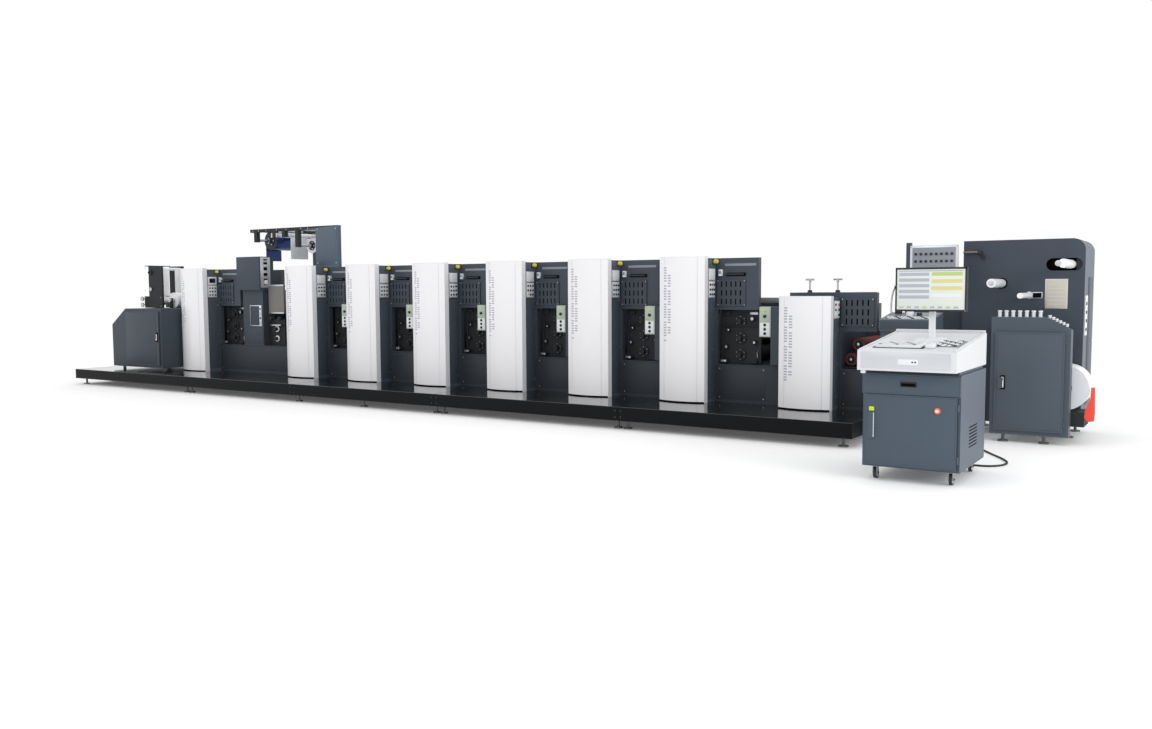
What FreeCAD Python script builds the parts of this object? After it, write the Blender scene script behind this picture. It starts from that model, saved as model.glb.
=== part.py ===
import FreeCAD, Part
import math
import os
import re
import Sketcher

# Label offset press line, built as one row of machine modules on a common base.
#
# Line coordinates: X runs along the press from the left end of the base, Y runs
# from the base's front edge to the drive side, Z is up from the floor. Every
# piece is moved by origin_shift() so that the row's origin is the middle of the
# whole line, on the floor: +X to the unwinder, -Y to the operator, +Z up.

SIZES = [
    # overall
    ("front_reach", 1420.0), ("back_reach", 2330.0),
    # base platform, its joints and its levelling feet
    ("base_depth", 2060.0), ("base_bottom", 90.0),
    ("base_thick", 141.0), ("base_chamfer", 4.0), ("joint_one", 2625.0),
    ("joint_two", 7215.0), ("joint_three", 9645.0), ("foot_one", 4855.0),
    ("foot_two", 6000.0), ("foot_pair", 55.0), ("foot_inset", 110.0),
    ("foot_pad_radius", 45.0), ("foot_pad_thick", 14.0), ("foot_stem_radius", 14.0),
    # low bed and the gear housing behind it
    ("bed_top", 620.0), ("bed_end_gap", 30.0), ("drive_end_gap", 345.0), ("frame_front", 1000.0),
    ("frame_back", 1770.0), ("frame_wall", 60.0), ("housing_depth", 170.0),
    ("housing_top", 1250.0),
    # printing units
    ("unit_start", 3951.0), ("unit_pitch", 1157.0), ("unit_width", 990.0),
    ("post_width", 530.0), ("outfeed_start", 1650.0), ("back_post_width", 630.0),
    # white covers and the dark columns behind them
    ("cover_front", 715.0), ("cover_width", 520.0), ("cover_bulge", 60.0),
    ("cover_return", 75.0), ("column_inset", 15.0),
    # cylinders of one unit
    ("cylinder_offset", 750.0), ("cylinder_radius", 86.0),
    ("bearing_setback", 110.0), ("bearing_wall", 30.0),
    ("bearing_margin", 15.0), ("journal_radius", 27.0), ("journal_length", 60.0),
    # ink head behind the arm of one unit
    ("ink_radius", 33.0), ("ink_step", 74.0), ("ink_first", 575.0), ("ink_width", 300.0),
    ("ink_depth", 270.0), ("ink_plate", 30.0),
    # slotted guard, its handle, side panel, stop button, control box
    ("guard_width", 317.0), ("guard_height", 270.0),
    ("guard_thick", 15.0), ("slot_width", 16.0), ("slot_height", 58.0),
    ("handle_length", 220.0), ("handle_reach", 50.0),
    ("handle_radius", 9.0), ("handle_foot", 7.0), ("panel_depth", 165.0), ("panel_thick", 18.0),
    ("panel_height", 310.0), ("panel_gap", 2.0), ("infeed_panel_depth", 135.0),
    ("infeed_panel_height", 180.0), ("button_radius", 22.0), ("button_reach", 38.0),
    ("box_back", 285.0), ("bracket_setback", 5.0),
    ("box_width", 120.0), ("box_depth", 80.0), ("box_bottom", 920.0),
    ("box_height", 305.0), ("bracket_bottom", 640.0),
    # low infeed unit
    ("infeed_width", 875.0), ("infeed_top", 1366.0),
    ("infeed_cover_top", 1332.0), ("infeed_arm", 990.0), ("infeed_roller", 62.0),
    ("spindle_one", 134.0), ("spindle_two", 421.0), ("spindle_row", 1200.0),
    ("spindle_height", 140.0), ("spindle_radius", 9.0), ("spindle_bar", 90.0),
    # finishing station and foil tower
    ("station_start", 2700.0), ("station_width", 430.0), ("station_depth", 200.0),
    ("station_top", 1420.0), ("head_start", 2660.0), ("head_width", 500.0),
    ("head_front", 930.0), ("head_depth", 250.0), ("head_top", 1895.0),
    ("screen_width", 320.0), ("screen_bottom", 1085.0), ("screen_height", 405.0),
    ("screen_row", 1080.0), ("station_radius", 58.0), ("station_bearing", 380.0),
    ("station_overrun", 200.0), ("station_roll_offset", 170.0), ("station_roll_high", 240.0),
    ("station_roll_low", 102.0), ("station_gap", 10.0),
    ("turn_one", 3400.0), ("turn_two", 3600.0), ("turn_height", 2190.0),
    ("turn_radius", 26.0), ("tower_start", 2900.0), ("tower_post", 4250.0),
    ("tower_post_width", 430.0), ("tower_back", 1640.0), ("back_tower_post", 3480.0),
    ("back_tower_width", 320.0), ("tower_top", 2285.0), ("beam_height", 45.0),
    ("hanger_width", 60.0), ("supply_at", 3010.0), ("supply_height", 2132.0),
    ("supply_radius", 136.0), ("takeup_at", 3870.0), ("takeup_height", 2040.0),
    ("takeup_radius", 107.0), ("reel_shaft", 18.0), ("reel_width", 330.0),
    ("web_width", 320.0), ("web_thick", 2.0), ("web_row", 1280.0),
    ("shaft_gap", 0.4), ("tower_web", 330.0), ("foil_drop", 290.0), ("foil_margin", 20.0),
    # rewinder at the left end
    ("rewinder_start", 370.0), ("rewinder_front", 400.0), ("rewinder_length", 1230.0),
    ("rewinder_depth", 1000.0), ("rewinder_bottom", 271.0), ("rewinder_top", 1150.0),
    ("rewinder_slope_length", 350.0), ("rewinder_slope_drop", 245.0),
    ("rewinder_plate_start", 420.0), ("rewinder_plate_end", 880.0),
    ("rewinder_plate_front", 930.0), ("rewinder_plate_top", 1800.0),
    ("rewinder_plate_step", 1330.0), ("rewinder_plate_neck", 545.0),
    ("rewinder_roll", 50.0), ("rewinder_plate_wall", 30.0), ("rewinder_span", 340.0),
    ("handwheel_radius", 38.0), ("handwheel_reach", 80.0), ("handwheel_thick", 14.0),
    ("cabinet_recess", 250.0),
    # cabinet doors
    ("door_thick", 18.0), ("door_gap", 5.0), ("pin_radius", 6.0), ("pin_gap", 0.5),
    ("pin_length", 50.0), ("recess_depth", 70.0), ("recess_margin", 40.0),
    ("left_door_width", 830.0), ("left_door_height", 800.0),
    ("right_door_width", 580.0), ("right_door_height", 890.0),
    # unwinder
    ("unwinder_length", 1061.0), ("unwinder_front", 1620.0),
    ("unwinder_bottom", 120.0), ("unwinder_top", 1855.0), ("unwinder_corner", 110.0),
    ("unwinder_roller", 40.0), ("unwinder_reach", 500.0), ("entry_inset", 10.0),
    ("entry_height", 1447.0), ("guide_offset", 235.0), ("guide_height", 1333.0),
    ("cabinet_length", 660.0), ("cabinet_front", 1140.0), ("cabinet_depth", 125.0),
    ("cabinet_bottom", 75.0), ("cabinet_top", 1140.0), ("cabinet_slope_length", 205.0),
    ("cabinet_slope_drop", 110.0), ("bridge_width", 50.0), ("knob_radius", 15.0),
    ("knob_height", 42.0), ("reel_height", 507.0),
    ("reel_radius", 200.0), ("core_radius", 38.0), ("reel_front", 1285.0),
    ("lever_thick", 30.0), ("lever_width", 85.0), ("lever_bottom", 210.0),
    ("slot_length", 190.0), ("slot_half", 58.0),
    ("slot_depth", 60.0), ("slot_row", 1618.0), ("bracket_start", 20.0),
    ("bracket_height", 130.0), ("bracket_drop", 50.0), ("lever_setback", 5.0),
    # operator console on casters
    ("console_width", 690.0), ("console_front", 1290.0),
    ("console_depth", 820.0), ("console_bottom", 105.0), ("console_top", 795.0),
    ("console_wall", 20.0), ("drawer_height", 130.0), ("drawer_depth", 520.0),
    ("drawer_wall", 12.0), ("drawer_clear", 6.0), ("leaf_margin", 15.0),
    ("worktop_lift", 25.0), ("worktop_front_height", 145.0),
    ("worktop_back_height", 240.0), ("worktop_depth", 990.0), ("monitor_width", 510.0),
    ("monitor_height", 325.0), ("monitor_thick", 45.0), ("monitor_row", 950.0),
    ("monitor_bottom", 1235.0), ("monitor_offset", 132.0), ("stand_post", 40.0),
    ("stand_width", 190.0), ("stand_depth", 200.0), ("tilt_height", 1340.0),
    ("tilt_radius", 8.0), ("tilt_length", 60.0), ("tilt_setback", 30.0),
    ("lug_thick", 10.0), ("grip_width", 120.0), ("grip_height", 38.0),
    ("pull_width", 36.0), ("pull_height", 190.0), ("pull_reach", 24.0),
    # casters
    ("wheel_size", 42.0), ("wheel_width", 22.0), ("axle_radius", 5.0),
    ("axle_clear", 0.05), ("fork_gap", 27.0), ("fork_wall", 4.0), ("caster_inset", 75.0),
    ("caster_trail", 22.0), ("stem_radius", 8.0), ("stem_clear", 0.4),
    # ink desk and the key panel above it
    ("desk_width", 430.0), ("desk_front", 800.0), ("desk_depth", 350.0),
    ("desk_top", 1010.0), ("desk_head", 105.0), ("desk_rise", 60.0),
    ("desk_overhang", 50.0), ("key_post", 45.0), ("key_width", 428.0),
    ("key_thick", 35.0), ("key_offset", 127.0), ("key_bottom", 1450.0),
    ("key_height", 350.0), ("key_top", 1834.0),
    ("link_bottom", 125.0), ("link_height", 1100.0), ("link_depth", 200.0),
    ("link_setback", 80.0),
    # gaps and setbacks that place one piece from another
    ("infeed_gap", 167.0), ("base_tail", 95.0), ("unwinder_gap", 549.0),
    ("cabinet_inset", 361.0), ("reel_inset", 961.0), ("slot_inset", 791.0),
    ("console_inset", 490.0), ("lever_outreach", 150.0), ("cylinder_clear", 16.0),
    ("cylinder_gap", 2.0), ("arm_clear", 34.0), ("arm_height", 535.0), ("cover_rise", 15.0),
    ("guard_lift", 40.0), ("handle_lift", 55.0), ("panel_drop", 415.0),
    ("button_drop", 35.0), ("ink_drop", 117.0), ("ink_housing_drop", 165.0),
    ("infeed_panel_drop", 256.0), ("infeed_guard_drop", 326.0),
    # console cable
    ("cable_radius", 8.0), ("gland_radius", 14.0), ("gland_length", 20.0),
    ("desk_gland", 60.0),
]

# Places that follow from the sizes above: along the line, then up a unit.
FOLLOWS = {
    "infeed_start": "unit_start + 6 * unit_pitch + infeed_gap",
    "base_length": "infeed_start + infeed_width + base_tail",
    "unwinder_start": "base_length + unwinder_gap",
    "cabinet_start": "unwinder_start + cabinet_inset",
    "reel_at": "unwinder_start + reel_inset",
    "slot_start": "unwinder_start + slot_inset",
    "console_start": "base_length + console_inset",
    "line_length": "unwinder_start + unwinder_length + lever_outreach",
    "cylinder_low": "bed_top + cylinder_clear + cylinder_radius",
    "cylinder_step": "2 * cylinder_radius + cylinder_gap",
    "arm_bottom": "cylinder_low + 2 * cylinder_step + cylinder_radius + arm_clear",
    "unit_top": "arm_bottom + arm_height",
    "cover_top": "unit_top + cover_rise",
    "guard_bottom": "arm_bottom + guard_lift",
    "handle_height": "guard_bottom + guard_height + handle_lift",
    "panel_bottom": "unit_top - panel_drop",
    "button_height": "unit_top - button_drop",
    "ink_height": "unit_top - ink_drop",
    "ink_housing_top": "unit_top - ink_housing_drop",
}

ALIASES = {alias for alias, _ in SIZES}
VALUE = dict(SIZES)
UNITS = 6

doc = FreeCAD.newDocument("label_press")
sheet = doc.addObject("Spreadsheet::Sheet", "Sizes")
for row, (alias, value) in enumerate(SIZES, start=1):
    sheet.set(f"A{row}", alias)
    sheet.set(f"B{row}", str(value))
    sheet.setAlias(f"B{row}", alias)
doc.recompute()

finished = []


def spelled_out(text):
    """Write a formula in settable sizes alone."""
    text = str(text)
    while any(word in FOLLOWS for word in re.findall(r"[a-z_]+", text)):
        text = re.sub(r"[a-z_]+", lambda m: f"({FOLLOWS[m[0]]})" if m[0] in FOLLOWS else m[0], text)
    return text


def bound(text):
    """Turn a formula written in size names into one that reads the sheet."""
    return re.sub(r"[a-z_]+", lambda m: "Sizes." + m[0] if m[0] in ALIASES else m[0],
                  spelled_out(text))


def place(thing, at):
    """Bind the placement of a feature to line coordinates."""
    shift = ("- line_length / 2", "- (back_reach - front_reach) / 2", "")
    for axis, coordinate, offset in zip("xyz", at, shift):
        thing.setExpression(f".Placement.Base.{axis}", bound(f"{coordinate} {offset}"))
    return thing


def box(name, size, at):
    """A block of three bound sizes with its lowest corner at a bound point."""
    block = doc.addObject("Part::Box", name)
    for side, length in zip(("Length", "Width", "Height"), size):
        block.setExpression(side, bound(length))
    return place(block, at)


TURN = {"x": FreeCAD.Rotation(FreeCAD.Vector(0, 1, 0), 90),
        "y": FreeCAD.Rotation(FreeCAD.Vector(1, 0, 0), -90),
        "z": FreeCAD.Rotation()}


def rod(name, radius, length, at, axis="y"):
    """A cylinder that starts at a bound point and runs along +axis."""
    bar = doc.addObject("Part::Cylinder", name)
    bar.Placement = FreeCAD.Placement(FreeCAD.Vector(), TURN[axis])
    bar.setExpression("Radius", bound(radius))
    bar.setExpression("Height", bound(length))
    return place(bar, at)


def fuse(name, pieces):
    """Join pieces that share material into one solid."""
    joined = doc.addObject("Part::MultiFuse", name)
    joined.Shapes = pieces
    return joined


def cut(name, whole, tool):
    """Take one piece out of another."""
    rest = doc.addObject("Part::Cut", name)
    rest.Base, rest.Tool = whole, tool
    return rest


def outline(name, plane, corners, depth, at):
    """A padded body whose straight-sided sketch is bound corner by corner.

    Corners are pairs of formulas of zero or more. The pad runs along +Z from
    the XY plane, along +Y from the XZ plane and along +X from the YZ plane.
    """
    body = doc.addObject("PartDesign::Body", name)
    sketch = body.newObject("Sketcher::SketchObject", name + "_sketch")
    support = [f for f in body.Origin.OriginFeatures if f.Role == plane + "_Plane"][0]
    sketch.AttachmentSupport = [(support, "")]
    sketch.MapMode = "FlatFace"
    points = [FreeCAD.Vector(number(u), number(v), 0) for u, v in corners]
    count = len(points)
    for index, point in enumerate(points):
        sketch.addGeometry(Part.LineSegment(point, points[(index + 1) % count]))
    for index in range(count):
        sketch.addConstraint(Sketcher.Constraint("Coincident", index, 2, (index + 1) % count, 1))
    for index, corner in enumerate(corners):
        for kind, axis, formula, at_rest in zip(("DistanceX", "DistanceY"), (-2, -1),
                                                corner, points[index][:2]):
            if formula == "0":
                sketch.addConstraint(Sketcher.Constraint("PointOnObject", index, 1, axis))
            else:
                held = sketch.addConstraint(Sketcher.Constraint(kind, -1, 1, index, 1, at_rest))
                sketch.setExpression(f"Constraints[{held}]", bound(formula))
    pad = body.newObject("PartDesign::Pad", name + "_pad")
    pad.Profile = sketch
    pad.Reversed = plane == "XZ"
    pad.setExpression("Length", bound(depth))
    place(body, at)
    return body


def number(formula):
    """The value that a formula has at the stored sizes."""
    if formula == "0":
        return 0.0
    plain = re.sub(r"[a-z_]+", lambda m: str(VALUE[m[0]]), spelled_out(formula))
    probe = doc.getObject("Sizes")
    probe.set("D1", "=" + plain)
    probe.recompute()
    return float(probe.get("D1"))


def node(name, pieces):
    """Finish a sub-part: one feature, or several solids that stay apart."""
    if not isinstance(pieces, list):
        piece = pieces
    elif len(pieces) == 1:
        piece = pieces[0]
    else:
        piece = doc.addObject("Part::Compound", name + "_set")
        piece.Links = pieces
    piece.Label = name
    finished.append(piece)


def unit_starts():
    """Line positions of the outfeed unit and the printing units."""
    return ["outfeed_start"] + [f"unit_start + {k} * unit_pitch" for k in range(UNITS)]


# ---------------------------------------------------------------- base and feet

def base():
    """The base platform with a small bevel around its top."""
    deck = outline("deck", "XY", [("0", "0"), ("base_length", "0"), ("base_length", "base_depth"),
                                  ("0", "base_depth")], "base_thick", ("0", "0", "base_bottom"))
    doc.recompute()
    top = [f"Edge{i}" for i, edge in enumerate(deck.Shape.Edges, 1)
           if min(v.Z for v in edge.Vertexes) > VALUE["base_bottom"] + VALUE["base_thick"] - 1]
    pad = deck.Tip
    bevel = deck.newObject("PartDesign::Chamfer", "deck_edge")
    bevel.Base = (pad, top)
    bevel.setExpression("Size", bound("base_chamfer"))
    deck.Tip = bevel
    node("base_platform", deck)


def foot(name, x, y, top):
    pad = rod(name + "_pad", "foot_pad_radius", "foot_pad_thick", (x, y, "0"), "z")
    stem = rod(name + "_stem", "foot_stem_radius", f"{top} - foot_pad_thick / 2",
               (x, y, "foot_pad_thick / 2"), "z")
    return fuse(name, [pad, stem])


def feet():
    """Levelling feet of the base and the unwinder, and the rewinder's short legs."""
    columns = ["foot_inset", "foot_one", "foot_two", "base_length - foot_inset"]
    for joint in ("joint_one", "joint_two", "joint_three"):
        columns += [f"{joint} - foot_pair", f"{joint} + foot_pair"]
    pads = []
    for index, x in enumerate(columns):
        for row, y in enumerate(("foot_inset", "base_depth - foot_inset")):
            pads.append(foot(f"foot_{index}_{row}", x, y, "base_bottom"))
    for index, x in enumerate(("unwinder_start + foot_inset",
                               "unwinder_start + unwinder_length - foot_inset")):
        for row, y in enumerate(("unwinder_front + foot_inset", "back_reach - foot_inset")):
            pads.append(foot(f"unwinder_foot_{index}_{row}", x, y, "unwinder_bottom"))
    for index, x in enumerate(("cabinet_start + foot_inset",
                               "cabinet_start + cabinet_length - cabinet_slope_length")):
        pads.append(foot(f"cabinet_foot_{index}", x, "cabinet_front + cabinet_depth / 2",
                         "cabinet_bottom"))
    for index, x in enumerate(("rewinder_start + foot_inset",
                               "rewinder_start + rewinder_length - foot_inset")):
        for row, y in enumerate(("rewinder_front + foot_inset",
                                 "rewinder_front + rewinder_depth - foot_inset")):
            pads.append(rod(f"rewinder_leg_{index}_{row}", "foot_pad_radius / 2",
                            "rewinder_bottom - base_bottom - base_thick",
                            (x, y, "base_bottom + base_thick"), "z"))
    node("levelling_feet", pads)


def bed():
    """The bed under the units and the gear housing along its back."""
    first = "outfeed_start + column_inset"
    node("bed_housing", box("bed", (f"base_length - bed_end_gap - ({first})",
                                    "frame_back + frame_wall - frame_front",
                                    "bed_top - base_bottom - base_thick"),
                            (first, "frame_front", "base_bottom + base_thick")))
    node("drive_housing", box("drive", (f"base_length - drive_end_gap - ({first})", "housing_depth",
                                        "housing_top - base_bottom - base_thick"),
                              (first, "frame_back + frame_wall", "base_bottom + base_thick")))


# ---------------------------------------------------------------- unit structure

def cover(name, start, top):
    """A bowed front cover: a block trimmed by a large upright cylinder."""
    block = box(name + "_block", ("cover_width", "cover_bulge + cover_return",
                                  f"{top} - base_bottom - base_thick"),
                (start, "cover_front - cover_bulge", "base_bottom + base_thick"))
    radius = "((cover_width / 2) ^ 2 + cover_bulge ^ 2) / (2 * cover_bulge)"
    bow = rod(name + "_bow", radius, f"{top} - base_bottom - base_thick",
              (f"{start} + cover_width / 2", f"cover_front - cover_bulge + {radius}",
               "base_bottom + base_thick"), "z")
    shape = doc.addObject("Part::MultiCommon", name)
    shape.Shapes = [block, bow]
    return shape


def columns_and_covers():
    """A dark column on the base and a white cover before it, for every unit."""
    columns, covers = [], []
    tops = [(start, "cover_top") for start in unit_starts()] + [("infeed_start", "infeed_cover_top")]
    back = "(cover_front + cover_return)"
    for index, (start, top) in enumerate(tops):
        columns.append(box(f"column_{index}",
                           ("cover_width - 2 * column_inset", f"frame_front - {back}",
                            f"{top} - column_inset - base_bottom - base_thick"),
                           (f"{start} + column_inset", back, "base_bottom + base_thick")))
        covers.append(cover(f"cover_{index}", start, top))
    node("unit_columns", columns)
    node("unit_covers", covers)


def side_frame(name, start, width, arm, top):
    """Operator-side wall: a post on the bed with an arm over the cylinder gap."""
    corners = [("0", "0"), ("post_width", "0"), ("post_width", f"{arm} - bed_top"),
               (width, f"{arm} - bed_top"), (width, f"{top} - bed_top"), ("0", f"{top} - bed_top")]
    return outline(name, "XZ", corners, "frame_wall", (start, "frame_front", "bed_top"))


def drive_frame(name, start, width, arm, top):
    """Drive-side wall: full width behind the cylinders, a narrower post above."""
    corners = [("0", "0"), (width, "0"), (width, f"{arm} - bed_top"),
               ("back_post_width", f"{arm} - bed_top"), ("back_post_width", f"{top} - bed_top"),
               ("0", f"{top} - bed_top")]
    return outline(name, "XZ", corners, "frame_wall", (start, "frame_back", "bed_top"))


def frames():
    """Operator-side and drive-side walls, and the plates that hold the cylinders."""
    fronts, backs, bearings = [], [], []
    backs.append(box("back_outfeed", ("unit_width", "frame_wall", "unit_top - bed_top"),
                     ("outfeed_start", "frame_back", "bed_top")))
    bearings.append(box("outfeed_wall", ("frame_wall / 2", "frame_back - frame_front - frame_wall",
                                         "arm_bottom - bed_top"),
                        ("outfeed_start", "frame_front + frame_wall", "bed_top")))
    for index, start in enumerate(unit_starts()):
        fronts.append(side_frame(f"front_{index}", start, "unit_width", "arm_bottom", "unit_top"))
        if index:
            backs.append(drive_frame(f"back_{index}", start, "unit_width", "arm_bottom",
                                     "unit_top"))
        bearings.append(box(f"bearing_{index}", ("unit_width - post_width - bearing_margin",
                                                 "bearing_wall", "arm_bottom - bed_top"),
                            (f"{start} + post_width",
                             "frame_front + bearing_setback", "bed_top")))
    fronts.append(side_frame("front_infeed", "infeed_start", "infeed_width", "infeed_arm",
                             "infeed_top"))
    backs.append(drive_frame("back_infeed", "infeed_start", "infeed_width", "infeed_arm",
                             "infeed_top"))
    reach = "head_start + head_width + screen_width + station_overrun - station_start"
    bearings.append(box("bearing_station", ("screen_width", "bearing_wall", "station_bearing"),
                        ("station_start + station_width + station_gap",
                         "frame_front + bearing_setback", "bed_top")))
    backs.append(box("back_station", (reach, "frame_wall", "station_top - bed_top"),
                     ("station_start", "frame_back", "bed_top")))
    node("operator_frames", fronts)
    node("drive_frames", backs)
    node("bearing_plates", bearings)


def cylinders():
    """Three cylinders in each unit and two in the finishing station."""
    rolls, journals = [], []
    face = "frame_front + bearing_setback + bearing_wall"
    for index, start in enumerate(unit_starts()):
        for level in range(3):
            spot = (f"{start} + cylinder_offset", face, f"cylinder_low + {level} * cylinder_step")
            rolls.append(rod(f"roll_{index}_{level}", "cylinder_radius",
                             "frame_back - frame_front - bearing_setback - bearing_wall", spot))
            journals.append(rod(f"journal_{index}_{level}", "journal_radius", "journal_length",
                                (spot[0], "frame_front + bearing_setback - journal_length", spot[2])))
    for level, z in enumerate(("bed_top + station_roll_high", "bed_top + station_roll_low")):
        spot = ("station_start + station_width + station_roll_offset", face, z)
        rolls.append(rod(f"station_roll_{level}", "station_radius",
                         "frame_back - frame_front - bearing_setback - bearing_wall", spot))
        journals.append(rod(f"station_journal_{level}", "journal_radius", "journal_length",
                            (spot[0], "frame_front + bearing_setback - journal_length", spot[2])))
    node("press_cylinders", rolls + journals)


def ink_units():
    """Behind each arm, an ink head with four rollers between the arm and its own plate."""
    housings, rollers = [], []
    inner = "frame_front + frame_wall"
    for index, start in enumerate(unit_starts()):
        left = f"{start} + post_width"
        trough = box(f"ink_trough_{index}", ("ink_width", "ink_depth + ink_plate / 2",
                                             "ink_housing_top - arm_bottom"),
                     (left, inner, "arm_bottom"))
        plate = box(f"ink_plate_{index}", ("ink_width", "ink_plate", "unit_top - arm_bottom"),
                    (left, inner + " + ink_depth", "arm_bottom"))
        housings.append(fuse(f"ink_{index}", [trough, plate]))
        for turn in range(4):
            rollers.append(rod(f"ink_roller_{index}_{turn}", "ink_radius", "ink_depth",
                               (f"{start} + ink_first + {turn} * ink_step", inner, "ink_height")))
    node("ink_housings", housings)
    node("ink_rollers", rollers)


def slotted_guard(name, start, bottom):
    """A plate with three rows of five upright slots."""
    plate = box(name + "_plate", ("guard_width", "guard_thick", "guard_height"),
                (f"{start} + post_width", "frame_front - guard_thick", bottom))
    slots = []
    for column in range(5):
        for level in range(3):
            x = f"{start} + post_width + guard_width * {column + 1} / 6 - slot_width / 2"
            z = f"{bottom} + guard_height * {2 * level + 1} / 6 - slot_height / 2"
            slots.append(box(f"{name}_slot_{column}_{level}",
                             ("slot_width", "3 * guard_thick", "slot_height"),
                             (x, "frame_front - 2 * guard_thick", z)))
    tool = doc.addObject("Part::Compound", name + "_slots")
    tool.Links = slots
    return cut(name, plate, tool)


def handle(name, start):
    """A bar on two stand-offs in front of the arm."""
    left = f"{start} + post_width + guard_width - handle_length"
    reach = "frame_front - handle_reach"
    bar = rod(name + "_bar", "handle_radius", "handle_length", (left, reach, "handle_height"), "x")
    feet_of_bar = [rod(f"{name}_foot_{index}", "handle_foot", "handle_reach",
                       (x, reach, "handle_height"))
                   for index, x in enumerate((f"{left} + handle_reach / 2",
                                              f"{left} + handle_length - handle_reach / 2"))]
    return fuse(name, [bar] + feet_of_bar)


def unit_fittings():
    """Guards, handles, side panels, stop buttons and control boxes of all units."""
    guards, handles, panels, buttons, boxes, brackets = [], [], [], [], [], []
    side = "cover_width - column_inset"
    back = "cover_front + cover_return"
    for index, start in enumerate(unit_starts()):
        guards.append(slotted_guard(f"guard_{index}", start, "guard_bottom"))
        handles.append(handle(f"handle_{index}", start))
        panels.append(box(f"panel_{index}", ("panel_thick", "panel_depth", "panel_height"),
                          (f"{start} + {side}", back + " + panel_gap", "panel_bottom")))
        buttons.append(rod(f"button_{index}", "button_radius", "button_reach",
                           (f"{start} + {side}", "frame_front - 2 * button_radius",
                            "button_height"), "x"))
    panels.append(box("panel_infeed", ("panel_thick", "infeed_panel_depth", "infeed_panel_height"),
                      (f"infeed_start + {side}", back + " + panel_gap",
                       "infeed_top - infeed_panel_drop")))
    guards.append(slotted_guard("guard_infeed", "infeed_start", "infeed_top - infeed_guard_drop"))
    for index in range(UNITS):
        follower = ("infeed_start" if index == UNITS - 1
                    else f"unit_start + {index + 1} * unit_pitch")
        row = "frame_front - guard_thick - box_depth"
        boxes.append(box(f"control_{index}", ("box_width", "box_depth", "box_height"),
                         (f"{follower} - box_back", row, "box_bottom")))
        brackets.append(box(f"bracket_{index}", ("box_back - box_width + column_inset",
                                                 "box_depth - bracket_setback",
                                                 "box_bottom + box_height - bracket_bottom"),
                            (f"{follower} - box_back + box_width", row + " + bracket_setback",
                             "bracket_bottom")))
    node("slotted_guards", guards)
    node("guard_handles", handles)
    node("side_panels", panels)
    node("stop_buttons", buttons)
    node("control_boxes", boxes)
    node("box_brackets", brackets)


INFEED_ROLLS = ((70, 90), (215, 90), (142, 240))


def infeed():
    """The low infeed unit: its housing, two spindles on top and three rollers."""
    inner = "frame_front + frame_wall"
    core = box("infeed_core", ("post_width", "frame_back - frame_front - frame_wall",
                               "infeed_top - bed_top"), ("infeed_start", inner, "bed_top"))
    node("infeed_housing", core)
    spindles = []
    for index, offset in enumerate(("spindle_one", "spindle_two")):
        x = f"infeed_start + {offset}"
        stem = rod(f"spindle_stem_{index}", "spindle_radius", "spindle_height",
                   (x, "spindle_row", "infeed_top"), "z")
        bar = rod(f"spindle_bar_{index}", "spindle_radius", "spindle_bar",
                  (f"{x} - spindle_bar / 2", "spindle_row",
                   "infeed_top + spindle_height - spindle_radius"), "x")
        collar = rod(f"spindle_collar_{index}", "2 * spindle_radius", "spindle_radius",
                     (x, "spindle_row", "infeed_top"), "z")
        spindles.append(fuse(f"spindle_{index}", [stem, bar, collar]))
    node("infeed_spindles", spindles)
    rollers = []
    for index, (x, z) in enumerate(INFEED_ROLLS):
        rollers.append(rod(f"infeed_roller_{index}", "infeed_roller",
                           "frame_back - frame_front - bearing_setback",
                           (f"infeed_start + post_width + {x}", "frame_front + bearing_setback",
                            f"bed_top + {z}")))
    node("infeed_rollers", rollers)


# ---------------------------------------------------------------- finishing station

def station():
    """The finishing station: a column, the head on it and a screen beside it."""
    node("station_column", box("station_post", ("station_width", "station_depth",
                                                "station_top - bed_top"),
                               ("station_start", "frame_front", "bed_top")))
    node("station_head", box("station_box", ("head_width", "head_depth", "head_top - station_top"),
                             ("head_start", "head_front", "station_top")))
    node("station_screen", box("screen", ("screen_width", "bearing_wall", "screen_height"),
                               ("head_start + head_width", "screen_row", "screen_bottom")))


def tower_side(name, row, post, end):
    """One side of the foil tower: a post, a beam from the left end and four hangers.

    Post is the post's start, width and lower end; end is where the beam stops.
    """
    start, width, foot_level = post
    upright = box(name + "_post", (width, "frame_wall", f"tower_top - {foot_level}"),
                  (start, row, foot_level))
    beam = box(name + "_beam", (f"{end} - tower_start", "frame_wall", "beam_height"),
               ("tower_start", row, "tower_top - beam_height"))
    hangers = []
    shafts = (("supply_at", "supply_height"), ("takeup_at", "takeup_height"),
              ("turn_one", "turn_height"), ("turn_two", "turn_height"))
    for index, (x, z) in enumerate(shafts):
        hangers.append(box(f"{name}_hanger_{index}",
                           ("hanger_width", "frame_wall", f"tower_top - {z} + hanger_width / 2"),
                           (f"{x} - hanger_width / 2", row, f"{z} - hanger_width / 2")))
    return fuse(name, [upright, beam] + hangers)


def reel(name, x, height, radius):
    """A wound reel on a shaft that turns between the two hangers."""
    roll = rod(name + "_roll", radius, "reel_width", (x, "web_row - (reel_width - web_width) / 2",
                                                      height))
    shaft = rod(name + "_shaft", "reel_shaft",
                "tower_back - frame_front - frame_wall - 2 * shaft_gap",
                (x, "frame_front + frame_wall + shaft_gap", height))
    return fuse(name, [roll, shaft])


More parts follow.
